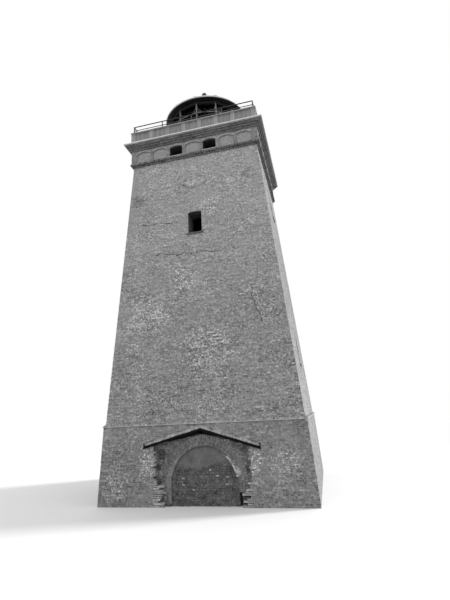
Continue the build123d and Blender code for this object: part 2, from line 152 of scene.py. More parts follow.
class Finish:
    def __init__(self, name, ior):
        self.material = bpy.data.materials.new(name)
        self.material.use_nodes = True
        self.tree = self.material.node_tree
        self.tree.nodes.clear()
        self.surface = self.tree.nodes.new("ShaderNodeBsdfPrincipled")
        self.output = self.tree.nodes.new("ShaderNodeOutputMaterial")
        self.plug(self.output, "Surface", Wire(self, self.surface.outputs[0]))
        self.plug(self.surface, "IOR", ior)
        self.place = self.node("ShaderNodeTexCoord", {}, {}, "Object")
        self.x = self.node("ShaderNodeSeparateXYZ", {}, {0: self.place}, 0)
        self.y = self.node("ShaderNodeSeparateXYZ", {}, {0: self.place}, 1)
        self.z = self.node("ShaderNodeSeparateXYZ", {}, {0: self.place}, 2)

    def plug(self, made, socket, value):
        if isinstance(value, Wire):
            self.tree.links.new(value.socket, made.inputs[socket])
        else:
            made.inputs[socket].default_value = value

    def node(self, kind, settings, sockets, output=0):
        made = self.tree.nodes.new(kind)
        for key, value in settings.items():
            setattr(made, key, value)
        for socket, value in sockets.items():
            self.plug(made, socket, value)
        return Wire(self, made.outputs[output])

    def vector(self, operation, first, second, output=0):
        return self.node("ShaderNodeVectorMath", {"operation": operation}, {0: first, 1: second}, output)

    def noise(self, scale, detail, roughness, stretch=None):
        place = self.vector("MULTIPLY", self.place, stretch) if stretch else self.place
        sockets = {"Vector": place, "Scale": scale, "Detail": detail, "Roughness": roughness}
        return self.node("ShaderNodeTexNoise", {}, sockets)

    def courses(self, across, upward, tones, size, smooth, squash):
        # laid bricks or slabs: their grey and a mask of their joints
        first, second, joint = [(tone, tone, tone, 1) for tone in tones]
        sockets = {
            "Vector": self.node("ShaderNodeCombineXYZ", {}, {0: across, 1: upward}),
            "Color1": first,
            "Color2": second,
            "Mortar": joint,
            "Scale": 1,
            "Mortar Size": 0.006,
            "Mortar Smooth": smooth,
            "Brick Width": size[0],
            "Row Height": size[1],
        }
        settings = {"squash": squash, "squash_frequency": 2}
        grey = self.node("ShaderNodeTexBrick", settings, sockets, "Color")
        joints = self.node("ShaderNodeTexBrick", settings, sockets, "Fac")
        return self.node("ShaderNodeRGBToBW", {}, {0: grey}), joints

    def reach(self):
        # how far out from the axis, square to the nearest side
        return abs(self.x).most(abs(self.y))

    def wear(self, value, roughness, relief=None, depth=0.003, strength=0.6):
        # joins a finish's varying values to its surface
        self.plug(self.surface, "Base Color", value)
        self.plug(self.surface, "Roughness", roughness)
        if relief:
            sockets = {"Height": relief, "Distance": depth, "Strength": strength}
            self.plug(self.surface, "Normal", self.node("ShaderNodeBump", {}, sockets))
        return self.material


def distance(across, upward):
    return (across ** 2 + upward ** 2) ** 0.5


def facing(finish, way):
    # 1 where a face looks that way, 0 elsewhere
    normal = finish.node("ShaderNodeNewGeometry", {}, {}, "Normal")
    return finish.vector("DOT_PRODUCT", normal, way, "Value").step(0.6, 0.8)


def stains(finish):
    # what years of weather leave on all the masonry: slow clouds and runs of damp
    clouds = finish.noise(0.55, 4, 0.6)
    runs = finish.noise(1.4, 4, 0.6, (1, 1, 0.16))
    return (clouds - 0.5) * 0.16 + (runs - 0.5) * 0.12


def patches(finish, places, core, squash=1.0):
    # ragged round marks about places of the front, full in the core of their radius
    marks = []
    for x, z, radius in places:
        ragged = (finish.noise(2.6, 4, 0.7) - 0.5) * 0.9
        away = distance(finish.x - x, (finish.z - z) * squash) + ragged
        marks.append(1 - away.step(radius * core, radius))
    return sum(marks)


def crackLine(finish, first, second):
    # a thin line from one place of the front to another, wandering as cracks do
    wander = (finish.noise(1.7, 2, 0.5) - 0.5) * 0.5
    run = (second[0] - first[0], second[1] - first[1])
    x = finish.x - first[0] + wander
    z = finish.z - first[1] + wander
    along = ((x * run[0] + z * run[1]) / (run[0] ** 2 + run[1] ** 2)).most(0).least(1)
    gap = distance(x - along * run[0], z - along * run[1])
    return 1 - gap.step(frontWear["crackWide"] * 0.4, frontWear["crackWide"])


# places are x and z on the front, with the radius of each mark
frontWear = {
    "pale": (
        (-2.03, 6.84, 1.1), (0.48, 5.19, 1.3), (0.73, 11.66, 0.6),
        (-0.6, 8.3, 0.8), (2.9, 1.3, 0.8), (-3.2, 0.7, 0.7),
    ),
    "jamb": ((-1.98, 1.35, 0.45), (1.86, 1.25, 0.405)),
    "dark": (
        (2.39, 4.56, 0.14), (1.64, 9.50, 0.12), (-1.86, 3.15, 0.14),
        (2.5, 12.9, 0.3), (-2.7, 12.4, 0.5),
    ),
    "cracks": (((-2.58, 11.08), (-0.93, 11.05)), ((-1.77, 9.51), (1.16, 9.30)), ((2.2, 7.6), (2.6, 6.1))),
    "crackWide": 0.034,
    "oval": (0.03, 12.95),
    "ovalHalf": 0.55,
    "ovalSquash": 0.55 / 0.30,
    "corner": (0.28, 0.34),
    "cornerFrom": (9.5, 11.5),
}


def frontMarks(finish):
    # what this front alone shows: limewashed patches, dark spots, cracks and an oval scar
    front = 1 - finish.y.step(-0.2, 0.2)
    light = patches(finish, frontWear["pale"], 0.35) + patches(finish, frontWear["jamb"], 1 / 3, 0.6) * 2
    dark = patches(finish, frontWear["dark"], 0.4)
    dark = dark + sum(crackLine(finish, *ends) for ends in frontWear["cracks"]) * 2.2
    x, z = frontWear["oval"]
    half = frontWear["ovalHalf"]
    rough = (finish.noise(9, 3, 0.7) - 0.5) * 0.14
    ring = distance(finish.x - x, (finish.z - z) * frontWear["ovalSquash"]) + rough
    dark = dark + (1 - abs(ring - half).step(0.03, 0.09)) * 1.3
    light = light + (1 - ring.step(half * 0.5, half)) * 0.7
    # a smoother strip up the left corner, with a faint line beside it
    inward = finish.x + tower["shaftFootHalf"] - (finish.z - tower["shaftFoot"]) * tower["batter"]
    strip = facing(finish, (0, -1, 0)) * finish.z.step(*frontWear["cornerFrom"])
    light = light - (1 - inward.step(*frontWear["corner"])) * strip * 0.7
    edge = abs(inward - frontWear["corner"][1])
    dark = dark + (1 - edge.step(0.015, 0.04)) * strip * 0.5
    return light.least(2) * front, dark.least(2.2) * front


scarWear = {
    "pale": ((-1.24, 0.95, 0.42), (1.45, 0.66, 0.12), (1.05, 1.82, 0.14)),
    # dark patches: partly grime, partly painted shade in the scar's hollows, slot and gaps between teeth
    "dark": (
        (-1.48, 1.67, 0.24), (-1.62, 1.20, 0.16), (-1.58, 0.76, 0.24), (1.44, 0.20, 0.32),
        (1.14, 0.62, 0.20), (1.58, 1.70, 0.20), (1.66, 1.10, 0.16),
    ),
}


def scarMarks(finish):
    # old plaster, and dark patches in the bared brickwork, partly grime and partly painted shade in its
    # hollows and slots
    return patches(finish, scarWear["pale"], 0.5, 0.5), patches(finish, scarWear["dark"], 0.4).least(1)


brickLook = {
    "grey": 0.264,
    "spread": 0.06,
    "limed": 0.12,
    "sooty": 0.04,
    "fleck": 0.58,
    "fleckScale": 13.5,
    "pits": 0.04,
    "grit": 0.10,
    "rise": 0.0095,
    "rough": 0.92,
}


def brickFinish(name, lift=0.0, limeShare=1.0, marks=None, paintedSun=0.0):
    finish = Finish(name, 1.4)
    tone = finish.node("ShaderNodeAttribute", {"attribute_name": "tone"}, {}, "Fac")
    grit = finish.noise(210, 3, 0.7)
    pits = finish.noise(70, 4, 0.7)
    kept = 0.5 + finish.noise(0.9, 5, 0.65).step(0.38, 0.66) * 0.4
    if marks:
        light, dark = marks(finish)
        kept = (kept + light * 0.7).least(1.8)
    limed = tone.step(0.52, 0.97) * brickLook["limed"]
    flecks = (finish.noise(brickLook["fleckScale"], 3, 0.8).step(0.46, 0.66) - 0.29) * brickLook["fleck"]
    sooty = (1 - tone.step(0.02, 0.20)) * brickLook["sooty"]
    value = tone * brickLook["spread"] + (brickLook["grey"] + lift) + stains(finish)
    # painted shade: the z term makes the bricks darker towards the foot and lighter going up
    value = value + finish.z * brickLook["rise"] + (limed + flecks) * kept * limeShare
    value = value + (grit - 0.5) * brickLook["grit"] - sooty - (1 - pits.step(0.34, 0.44)) * brickLook["pits"]
    if marks:
        value = value + light * 0.08 - dark * 0.13
    # painted sunlight: faces that look right are made lighter up to 5 m, fading out by 9 m
    if paintedSun:
        value = value + facing(finish, (1, 0, 0)) * (1 - finish.z.step(5, 9)) * paintedSun
    return finish.wear(value.most(0.035), brickLook["rough"], grit * 0.4 + pits, 0.003, 0.7)


def jointFinish(name, faceHalf, slope, foot, grey=0.33):
    # mortar on the weather face, brick courses inside the openings and rooms
    finish = Finish(name, 1.4)
    along = finish.x + finish.y
    bricks, joints = finish.courses(along, finish.z, (0.09, 0.14, 0.18), (0.25, 0.067), 0.3, 0.5)
    grain = finish.noise(150, 4, 0.7)
    weather = (finish.reach() - (faceHalf - (finish.z - foot) * slope)).step(-0.02, -0.01)
    # painted shade: the z term makes the mortar darker towards the foot, as on the bricks
    mortar = grey + finish.z * brickLook["rise"] + (grain - 0.5) * 0.16 + stains(finish)
    inside = bricks + (grain - 0.5) * 0.06
    value = mortar * weather + inside * (1 - weather)
    return finish.wear(value.most(0.04), 0.95, grain * 0.3 - joints * (1 - weather), 0.004)


def renderFinish():
    # lime render of the parapet, streaked with dark runs, and darker in a band just under the coping
    finish = Finish("streakedRender", 1.4)
    runs = finish.noise(15, 4, 0.65, (1, 1, 0.05))
    fine = finish.noise(30, 3, 0.6, (1, 1, 0.08))
    grain = finish.noise(120, 4, 0.7)
    panel = finish.reach().step(tower["parapetHalf"] - 0.02, tower["parapetHalf"] - 0.01)
    below = (tower["copingFoot"] - finish.z).step(0, 0.22)
    value = 0.26 + panel * 0.08 + (runs - 0.5) * 0.44 + (fine - 0.5) * 0.26 + (grain - 0.5) * 0.08
    return finish.wear((value * (0.72 + below * 0.28)).most(0.05), 0.93, grain + runs * 0.5, 0.003, 0.5)


def trimFinish():
    # mortar of the frieze, with light plaster on the backs of its niches, and painted shade deeper in, inside
    # the window openings
    finish = Finish("friezeMortar", 1.4)
    grain = finish.noise(140, 4, 0.7)
    cloud = finish.noise(5, 5, 0.7)
    speck = finish.noise(22, 4, 0.75).step(0.42, 0.60)
    depth = tower["friezeHalf"] - finish.reach()
    panel = depth.step(0.049, 0.053) * (1 - depth.step(0.057, 0.060))
    mortar = 0.30 + (grain - 0.5) * 0.14 + stains(finish)
    plaster = 0.15 + cloud * 0.18 + speck * 0.26 + (grain - 0.5) * 0.10
    # deeper than the niches' backs, inside the windows, the grey drops as painted shade
    value = mortar * (1 - panel) + plaster * panel - depth.step(0.06, 0.10) * 0.24
    return finish.wear(value.most(0.05), 0.94, grain + speck * 0.5, 0.004)


def plasterFinish(name, grey, speckled=0.0, speckScale=24):
    finish = Finish(name, 1.4)
    speck = finish.noise(speckScale, 4, 0.8).step(0.44, 0.60)
    cloud = finish.noise(3.5, 5, 0.65)
    grain = finish.noise(90, 4, 0.75)
    crack = 1 - abs(finish.noise(5, 6, 0.75) - 0.5).step(0.002, 0.010)
    value = grey + (cloud - 0.5) * 0.22 + (grain - 0.5) * 0.10 - crack * 0.08 - speck * speckled
    return finish.wear(value.most(0.04), 0.94, grain + cloud - crack - speck * 0.5)


def stoneFinish(name, grey, spread=0.16, relief=0.004, scale=2.2):
    finish = Finish(name, 1.45)
    cloud = finish.noise(scale, 5, 0.6)
    grain = finish.noise(130, 4, 0.75)
    moss = finish.noise(11, 4, 0.65).step(0.56, 0.68)
    value = grey + (cloud - 0.5) * spread + (grain - 0.5) * 0.12 - moss * 0.09
    return finish.wear(value.most(0.03), 0.9, grain + cloud, relief)


def slateFinish():
    # dark slates, their near black partly their own and partly painted shade, split along their beds
    finish = Finish("slateDrip", 1.1)
    beds = finish.noise(12, 4, 0.7, (1, 1, 6))
    grain = finish.noise(150, 4, 0.75)
    return finish.wear(beds * 0.010 + grain * 0.012, 0.85 + grain * 0.1, grain + beds)


def slabFinish(name, grey, slab):
    # square slabs with dark joints, for floors and deck
    finish = Finish(name, 1.45)
    slabs, joints = finish.courses(finish.x, finish.y, (grey, grey * 0.8, 0.1), slab, 0.1, 1.0)
    grain = finish.noise(60, 4, 0.7)
    return finish.wear(slabs + (grain - 0.5) * 0.08, 0.85, grain * 0.4 - joints, 0.004)


def ironFinish(name, grey, rust, sheen):
    # old paint on iron, flaked back to rust at random and along runs of water
    finish = Finish(name, 1.5)
    flakes = finish.noise(14, 6, 0.7).step(0.56, 0.62)
    runs = finish.noise(8, 4, 0.6, (1, 1, 0.12)).step(0.52, 0.72)
    grain = finish.noise(180, 3, 0.7)
    paint = grey * 0.82 + finish.noise(1.6, 4, 0.6) * grey * 0.36 - runs * grey * 0.35
    value = paint * (1 - flakes) + (grain * rust + rust * 0.5) * flakes
    rough = sheen + flakes * 0.35 + (grain - 0.5) * 0.1
    return finish.wear(value.most(0.01), rough.least(1), grain * 0.4 - flakes, 0.0015)


def barFinish():
    # the faces that look out are pale, partly paint and partly painted light; those that look in are near
    # black as painted shade
    finish = Finish("barIron", 1.5)
    flat = finish.vector("MULTIPLY", finish.place, (1, 1, 0))
    normal = finish.node("ShaderNodeNewGeometry", {}, {}, "Normal")
    paint = finish.vector("DOT_PRODUCT", flat, normal, "Value").step(0.9, 1.4)
    flakes = finish.noise(14, 6, 0.7).step(0.56, 0.62)
    grain = finish.noise(180, 3, 0.7)
    value = 0.015 + paint * (0.21 - flakes * 0.10) + (grain - 0.5) * 0.02
    return finish.wear(value.most(0.01), 0.6 + flakes * 0.2, grain * 0.4 - flakes, 0.0015)


def gutterFinish():
    # the lip that is seen from the ground is pale as a painted highlight; under it, near black as painted
    # shade
    finish = Finish("gutterIron", 1.5)
    lip = distance(finish.x, finish.y).step(tower["eaveHalf"] - 0.040, tower["eaveHalf"] - 0.024)
    grain = finish.noise(180, 3, 0.7)
    flakes = finish.noise(12, 6, 0.7).step(0.54, 0.62)
    value = 0.006 + lip * (0.78 - flakes * 0.16 + (grain - 0.5) * 0.08) + grain * 0.01
    return finish.wear(value, 0.5 + flakes * 0.3, grain * 0.4 - flakes, 0.0015)


def glassFinish():
    # old panes, thin with dust, that show the dark room behind them
    finish = Finish("lanternPane", 1.04)
    finish.plug(finish.surface, "Transmission Weight", 1.0)
    return finish.wear((0.55, 0.57, 0.57, 1), 0.01 + finish.noise(6, 4, 0.65).step(0.45, 0.8) * 0.06)


made = (
    brickFinish("towerBrick", -0.01, 1.0, frontMarks, 0.11),
    brickFinish("plinthBrick", -0.035, 0.7, frontMarks, 0.13),
    brickFinish("trimBrick", -0.14, 0.6),
    brickFinish("scarBrick", -0.115, 0.4, scarMarks),
    brickFinish("toothBrick", 0.10, 0.9),
    brickFinish("archBrick", -0.10, 0.4),
    # the corbel's and the cornice's bricks are made darker, as painted shade
    brickFinish("stainedBrick", -0.295, 0.55),
    brickFinish("corniceBrick", -0.285, 0.35),
    brickFinish("edgeBrick", -0.06, 0.6),
    brickFinish("limeBrick", 0.27, 0.6),
    brickFinish("paleBrick", 0.04, 0.6),
    jointFinish("shaftMortar", tower["shaftFootHalf"], tower["batter"], tower["shaftFoot"]),
    jointFinish("plinthMortar", tower["plinthFootHalf"], tower["plinthBatter"], 0, 0.31),
    trimFinish(),
    stoneFinish("courseMortar", 0.34, 0.1),
    renderFinish(),
    plasterFinish("infillPlaster", 0.17),
    plasterFinish("palePlaster", 0.50, 0.22),
    plasterFinish("dullPlaster", 0.27, 0.08),
    plasterFinish("flakedPlaster", 0.64, 0.42, 9),
    plasterFinish("corniceFillet", 0.84, 0.05),
    stoneFinish("copingStone", 0.34),
    stoneFinish("rubbleStone", 0.15, 0.40, 0.012, 5),
    stoneFinish("sillMortar", 0.20, 0.12),
    stoneFinish("sillBrick", 0.14, 0.12),
    slateFinish(),
    slabFinish("floorBoards", 0.16, (2.4, 0.18)),
    slabFinish("deckSlabs", 0.30, (0.6, 0.6)),
    ironFinish("darkIron", 0.045, 0.06, 0.5),
    ironFinish("paleIron", 0.42, 0.14, 0.45),
    # near-black iron, painted shade for the head ring, the glazing beads and the sheet under the dome
    ironFinish("ceilingIron", 0.010, 0.012, 0.75),
    barFinish(),
    gutterFinish(),
    glassFinish(),
)
materials = {material.name: material for material in made}

# the solids that stay in view, by the ends of their names
nodeFinishes = {
    "plinthMortar": ("plinth",),
    "shaftMortar": ("wall",),
    "friezeMortar": ("frieze",),
    "streakedRender": ("parapet",),
    "scarBrick": ("arch_ring",),
    "infillPlaster": ("arch_infill",),
    "slateDrip": ("gable_drip",),
    "paleBrick": ("toothing_bricks",),
    "courseMortar": ("setoff_course", "corbel_course", "cornice"),
    "sillMortar": ("window_sills",),
    "floorBoards": ("floor",),
    "deckSlabs": ("gallery_deck",),
    "copingStone": ("parapet_coping",),
    "darkIron": ("railing_posts", "mid_rail", "top_rail", "finial"),
    "paleIron": ("lantern_base", "lantern_sill", "eave_gutter", "lantern_dome", "dome_ribs", "roof_vent"),
    "barIron": ("lantern_posts", "transom_bars", "post_brackets"),
    "ceilingIron": ("head_ring",),
    "lanternPane": ("lantern_glass",),
}
for finish, ends in nodeFinishes.items():
    for name, node in nodes.items():
        if name.endswith(ends):
            node.data.materials.clear()
            node.data.materials.append(materials[finish])
print("materials made:", len(materials))


# Modelling helpers
def choose(*pieces):
    # selects these pieces alone, the first of them active
    bpy.ops.object.select_all(action="DESELECT")
    for piece in pieces:
        piece.select_set(True)
    if pieces:
        bpy.context.view_layer.objects.active = pieces[0]


def editAll():
    bpy.ops.object.mode_set(mode="EDIT")
    bpy.ops.mesh.select_all(action="SELECT")


def editDone():
    bpy.ops.object.mode_set(mode="OBJECT")


def settle(piece, finish, smoothAngle=None):
    # places a piece's shape in its mesh, dresses it and fixes it to the tower
    choose(piece)
    bpy.ops.object.transform_apply(location=True, rotation=True, scale=True)
    if smoothAngle:
        bpy.ops.object.shade_smooth_by_angle(angle=math.radians(smoothAngle))
    piece.data.materials.clear()
    piece.data.materials.append(materials[finish])
    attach(piece, "root")
    return piece


def joined(pieces, name):
    # one piece from several
    choose(*pieces)
    bpy.ops.object.join()
    pieces[0].name = name
    return pieces[0]


def newPiece(name, points, edges, faces):
    # a piece from its own points, edges and faces
    mesh = bpy.data.meshes.new(name)
    mesh.from_pydata(points, edges, faces)
    piece = bpy.data.objects.new(name, mesh)
    bpy.context.scene.collection.objects.link(piece)
    return piece


def copied(piece, matrix):
    # a copy with its own mesh, moved by a matrix
    twin = piece.copy()
    twin.data = piece.data.copy()
    twin.data.transform(matrix)
    if matrix.is_negative:
        twin.data.flip_normals()
    bpy.context.scene.collection.objects.link(twin)
    return twin


def turnedTo(side, place):
    # a place on the front, taken round to another side
    return Matrix.Rotation(math.radians(sides[side]), 4, "Z") @ Matrix.Translation(place)


def copiedRound(piece, count, name, first=0.0):
    # copies turned about the tower's axis, joined into one piece
    piece.data.transform(Matrix.Rotation(first, 4, "Z"))
    turns = [Matrix.Rotation(math.tau * index / count, 4, "Z") for index in range(1, count)]
    return joined([piece] + [copied(piece, turn) for turn in turns], name)


def block(size, centre, bevel, segments=1):
    # a bevelled block, the start of slabs, straps and plates
    choose()
    bpy.ops.mesh.primitive_cube_add(size=1, location=centre)
    piece = bpy.context.object
    piece.scale = size
    bpy.ops.object.transform_apply(location=True, rotation=True, scale=True)
    editAll()
    bpy.ops.mesh.bevel(offset=bevel, segments=segments, affect="EDGES")
    editDone()
    return piece


def turned(name, outline, steps, closed=True):
    # an outline of radius and height, spun about the tower's axis
    corners = [(radius, 0, height) for radius, height in outline]
    edges = [(i, i + 1) for i in range(len(corners) - 1)]
    if closed:
        edges.append((len(corners) - 1, 0))
    piece = newPiece(name, corners, edges, [])
    choose(piece)
    editAll()
    bpy.ops.mesh.spin(steps=steps, angle=math.tau, center=(0, 0, 0), axis=(0, 0, 1))
    bpy.ops.mesh.select_all(action="SELECT")
    bpy.ops.mesh.remove_doubles(threshold=0.0002)
    bpy.ops.mesh.normals_make_consistent(inside=False)
    editDone()
    return piece


def bolt(centre, way, radius=0.012):
    # a domed rivet head that looks along a way
    choose()
    bpy.ops.mesh.primitive_uv_sphere_add(segments=8, ring_count=6, radius=radius)
    head = bpy.context.object
    editAll()
    bpy.ops.mesh.bisect(plane_co=(0, 0, 0), plane_no=(0, 0, 1), clear_inner=True, use_fill=True)
    editDone()
    head.data.transform(Vector(way).to_track_quat("Z", "Y").to_matrix().to_4x4())
    head.data.transform(Matrix.Translation(centre))
    return head


# Brickwork: one brick is modelled, and copied into every cell of a wall
brickSize = {
    "header": 0.125,
    "course": 0.067,
    "joint": 0.012,
    "bevel": 0.004,
    "proud": 0.008,
    "uneven": 0.0013,
    "worn": (0.0015, 0.0035),
    "least": 0.001,
    "sunk": 0.004,
}


def modelBrick():
    choose()
    bpy.ops.mesh.primitive_plane_add(size=1, location=(0.5, 0.5, 0))
    brick = bpy.context.object
    bpy.ops.object.transform_apply(location=True, rotation=True, scale=True)
    editAll()
    bpy.ops.mesh.inset(thickness=0.1, depth=1)
    editDone()
    corners = np.array([v.co for v in brick.data.vertices])
    faces = np.array([p.vertices[:] for p in brick.data.polygons])
    bpy.data.objects.remove(brick)
    return corners, faces


brickCorners, brickFaces = modelBrick()


def layBricks(name, cells, place, half=None, seed=1, wobble=0.0012, joint=brickSize["joint"]):
    # cells hold left, right, low, high, proud, tone and whether each end is a corner of the tower
    draw = np.random.default_rng(seed)
    table = np.array(cells, float)
    right, upper, face = [brickCorners[:, axis] > 0.5 for axis in range(3)]
    column = [table[:, index, None] for index in range(8)]
    inset = joint / 2 + brickSize["bevel"] * face
    shake = draw.normal(0, wobble, (2, len(table), len(brickCorners))) * face
    u = np.where(right, column[1] - inset, column[0] + inset) + shake[0]
    v = np.where(upper, column[3] - inset, column[2] + inset) + shake[1]
    out = np.where(face, column[4], -brickSize["sunk"])
    if half:
        corner = np.minimum(half(v) + out, tower["plinthFootHalf"])
        u = np.where((column[7] > 0) & right, corner, u)
        u = np.where((column[6] > 0) & ~right, -corner, u)
    offsets = np.arange(len(table))[:, None, None] * len(brickCorners)
    faces = (brickFaces[None] + offsets).reshape(-1, brickFaces.shape[1])
    piece = newPiece(name, place(u, v, out).reshape(-1, 3).tolist(), [], faces.tolist())
    tones = piece.data.attributes.new("tone", "FLOAT", "POINT")
    tones.data.foreach_set("value", np.repeat(table[:, 5], len(brickCorners)).astype(np.float32))
    return piece


def onSide(turn, reachAt, levelAt):
    # measures along, up and out of a side, turned into points of the tower
    angle = math.radians(turn)
    along = np.array((math.cos(angle), math.sin(angle), 0))
    outward = np.array((math.sin(angle), -math.cos(angle), 0))

    def place(u, v, out):
        flat = u[..., None] * along + reachAt(v, out)[..., None] * outward
        return flat + levelAt(v, out)[..., None] * np.array((0, 0, 1.0))

    return place


def onWall(turn, half):
    # up a wall, whose half width goes with the level, and never out past the plinth's foot
    def reachAt(v, out):
        return np.minimum(half(v) + out, tower["plinthFootHalf"])

    return onSide(turn, reachAt, lambda v, out: v)


def onSlope(turn, foot, head):
    # up a slope, whose foot and head are half widths and levels
    length = math.dist(foot, head)
    back, rise = (foot[0] - head[0]) / length, (head[1] - foot[1]) / length

    def half(v):
        return foot[0] - v * back

    def levelAt(v, out):
        return foot[1] + v * rise + out * back

    return onSide(turn, lambda v, out: half(v) + out * rise, levelAt), half, length


def onArc(place, centre, middle):
    # cells along an arc, their length taken at its middle radius
    def bent(u, v, out):
        angle = u / middle
        return place(centre[0] + v * np.sin(angle), centre[1] + v * np.cos(angle), out)

    return bent


def upright(half):
    # an upright face, as far out at every level
    return lambda level: half + 0 * level


def courseWidths(length, bond):
    header = brickSize["header"]
    if length < 4 * header:
        count = max(1, round(length / header))
        return [length / count] * count
    if bond == 0:  # headers, with a closer beside each corner
        shares = [1, 0.5] + [1] * (round(length / header) - 3) + [0.5, 1]
    elif bond == 1:  # stretchers
        shares = [2] * round(length / header / 2)
    else:  # stretchers, moved on by half a brick
        shares = [1] + [2] * (round(length / header / 2) - 1) + [1]
    return [share * (length / sum(shares)) for share in shares]


def courseCells(draw, left, right, low, high, bond, ends=(0, 0), worn=0.06, proud=brickSize["proud"]):
    # the bricks of one stretch of a course
    cells = []
    start = left
    widths = courseWidths(right - left, bond)
    for index, width in enumerate(widths):
        depth = proud + draw.normal(0, brickSize["uneven"])
        if draw.random() < worn:
            depth = brickSize["worn"][0] + (brickSize["worn"][1] - brickSize["worn"][0]) * draw.random()
        corners = (ends[0] * (index == 0), ends[1] * (index == len(widths) - 1))
        depth = max(depth, brickSize["least"])
        cells.append((start, start + width, low, high, depth, draw.random(), *corners))
        start += width
    return cells


def wallCells(draw, bottom, top, half, gaps, phase, worn=0.06):
    # courses from corner to corner, interrupted by the gaps at each level
    cells = []
    rows = round((top - bottom) / brickSize["course"])
    height = (top - bottom) / rows
    for row in range(rows):
        low = bottom + row * height
        middle = low + height / 2
        edge = float(half(middle))
        spans = [(-edge, edge, 1, 1)]
        for hole in filter(None, [gap(middle) for gap in gaps]):
            cut = []
            for left, right, leftEnd, rightEnd in spans:
                if hole[0] > left and hole[1] < right:
                    cut += [(left, hole[0], leftEnd, 0), (hole[1], right, 0, rightEnd)]
                else:
                    cut.append((left, right, leftEnd, rightEnd))
            spans = cut
        bond = 0 if (row + phase) % 2 == 0 else 1 + (row // 2) % 2
        for left, right, leftEnd, rightEnd in spans:
            cells += courseCells(draw, left, right, low, low + height, bond, (leftEnd, rightEnd), worn)
    return cells


def headRadius(width, rise):
    # radius of a segmental head
    return (width**2 / 4 + rise**2) / (2 * rise)


def archCells(draw, width, rise, depth, count, tone=0.5, proud=0.010):
    # voussoirs over a segmental head: cells, radius of the head and middle radius
    radius = headRadius(width, rise)
    reach = math.asin(width / 2 / radius)
    middle = radius + depth / 2
    step = 2 * reach * middle / count
    cells = []
    for index in range(count):
        start = -reach * middle + index * step
        shade = tone + (draw.random() - 0.5) * 0.6
        out = proud + draw.normal(0, 0.0015)
        cells.append((start, start + step, radius, radius + depth, out, shade, 0, 0))
    return cells, radius, middle


def shaftHalf(level):
    return tower["shaftFootHalf"] - tower["batter"] * (level - tower["shaftFoot"])


# Shaft walls
shaftWindows = {"front": (10.33,), "back": (10.33,), "right": (4.72, 11.87), "left": (4.72, 11.87)}
shaftWindow = {
    "width": 0.62,
    "height": 1.05,
    "rise": 0.04,
    "arch": 0.235,
    "voussoirs": 11,
    "lean": 0.06,
    "sill": 0.065,
    "sillHalf": 0.38,
    "joint": (0.004, 0.01),
}


def windowGap(sill):
    spring = sill + shaftWindow["height"] - shaftWindow["rise"]
    crown = sill + shaftWindow["height"] + shaftWindow["arch"]
    half = shaftWindow["width"] / 2

    def gap(level):
        reach = half + shaftWindow["joint"][0]
        if sill - shaftWindow["sill"] < level < sill:
            reach = shaftWindow["sillHalf"]
        elif spring <= level < crown:
            lean = shaftWindow["lean"] * (level - spring) / (crown - spring)
            reach = half + shaftWindow["joint"][1] + lean
        elif not sill <= level < spring:
            return None
        return (-reach, reach)

    return gap


for index, (side, turn) in enumerate(sides.items()):
    draw = np.random.default_rng(40 + index)
    place = onWall(turn, shaftHalf)
    gaps = [windowGap(sill) for sill in shaftWindows[side]]
    cells = wallCells(draw, tower["shaftFoot"], tower["shaftHead"], shaftHalf, gaps, index % 2)
    parts = [layBricks(f"{side}Bricks", cells, place, shaftHalf, 50 + index)]
    for sill in shaftWindows[side]:
        shape = [shaftWindow[key] for key in ("width", "rise", "arch", "voussoirs")]
        cells, radius, middle = archCells(draw, *shape)
        centre = (0, sill + shaftWindow["height"] - radius)
        parts.append(layBricks("windowArch", cells, onArc(place, centre, middle), None, 60 + index))
    settle(joined(parts, f"{side}Bricks"), "towerBrick")
print("shaft walls laid")

# Plinth walls, with the scar of the lean-to left open on the front
scar = {
    "half": 1.76,
    "apex": 2.44,
    "eaves": 1.85,
    "reach": 2.16,
    "least": 0.1,
    "joint": 0.012,
    "wild": 0.010,
    "worn": 0.2,
}
scarFace = -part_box("arch_ring")[0].y
onScar = onWall(0, upright(scarFace))


def plinthHalf(level):
    return tower["plinthFootHalf"] - tower["plinthBatter"] * level


def scarEdge(level):
    slope = (scar["apex"] - level) / (scar["apex"] - scar["eaves"]) * scar["reach"]
    return max(min(scar["half"], slope), 0)


def scarGap(level):
    return (-scarEdge(level), scarEdge(level)) if scarEdge(level) > scar["least"] else None


for index, (side, turn) in enumerate(sides.items()):
    draw = np.random.default_rng(70 + index)
    gaps = [scarGap] if side == "front" else []
    cells = wallCells(draw, 0, tower["plinthTop"], plinthHalf, gaps, index % 2, 0.09)
    piece = layBricks(f"{side}PlinthBricks", cells, onWall(turn, plinthHalf), plinthHalf, 80 + index)
    settle(piece, "plinthBrick")
print("plinth walls laid")

# Scar: rough bricks round the arch, whose voussoirs are a brick and a half long
arch = {
    "x": 0.07,
    "spring": 0.66,
    "inner": 1.21,
    "outer": 1.57,
    "slot": 0.11,
    "joint": 0.005,
    "voussoirs": 61,
    "bricks": (0.12, 0.24),
    "tone": (0.25, 0.75),
    "out": 0.010,
    "uneven": 0.005,
}


def archGap(level):
    if level < arch["spring"]:
        left = arch["x"] - arch["inner"] - arch["joint"]
        return (left, arch["x"] + arch["inner"] + arch["slot"] + arch["joint"])
    if level > arch["spring"] + arch["outer"]:
        return None
    reach = math.sqrt(arch["outer"] ** 2 - (level - arch["spring"]) ** 2)
    return (arch["x"] - reach, arch["x"] + reach)


def scarHalf(level):
    return scarEdge(level) - scar["joint"]


draw = np.random.default_rng(90)
cells = wallCells(draw, 0, scar["apex"] - 0.04, scarHalf, [archGap], 0, scar["worn"])
least = brickSize["least"]
rough = [cell[:4] + (max(cell[4] + draw.normal(0.004, scar["wild"]), least),) + cell[5:] for cell in cells]
settle(layBricks("scarBricks", rough, onScar, None, 91, 0.004), "scarBrick")

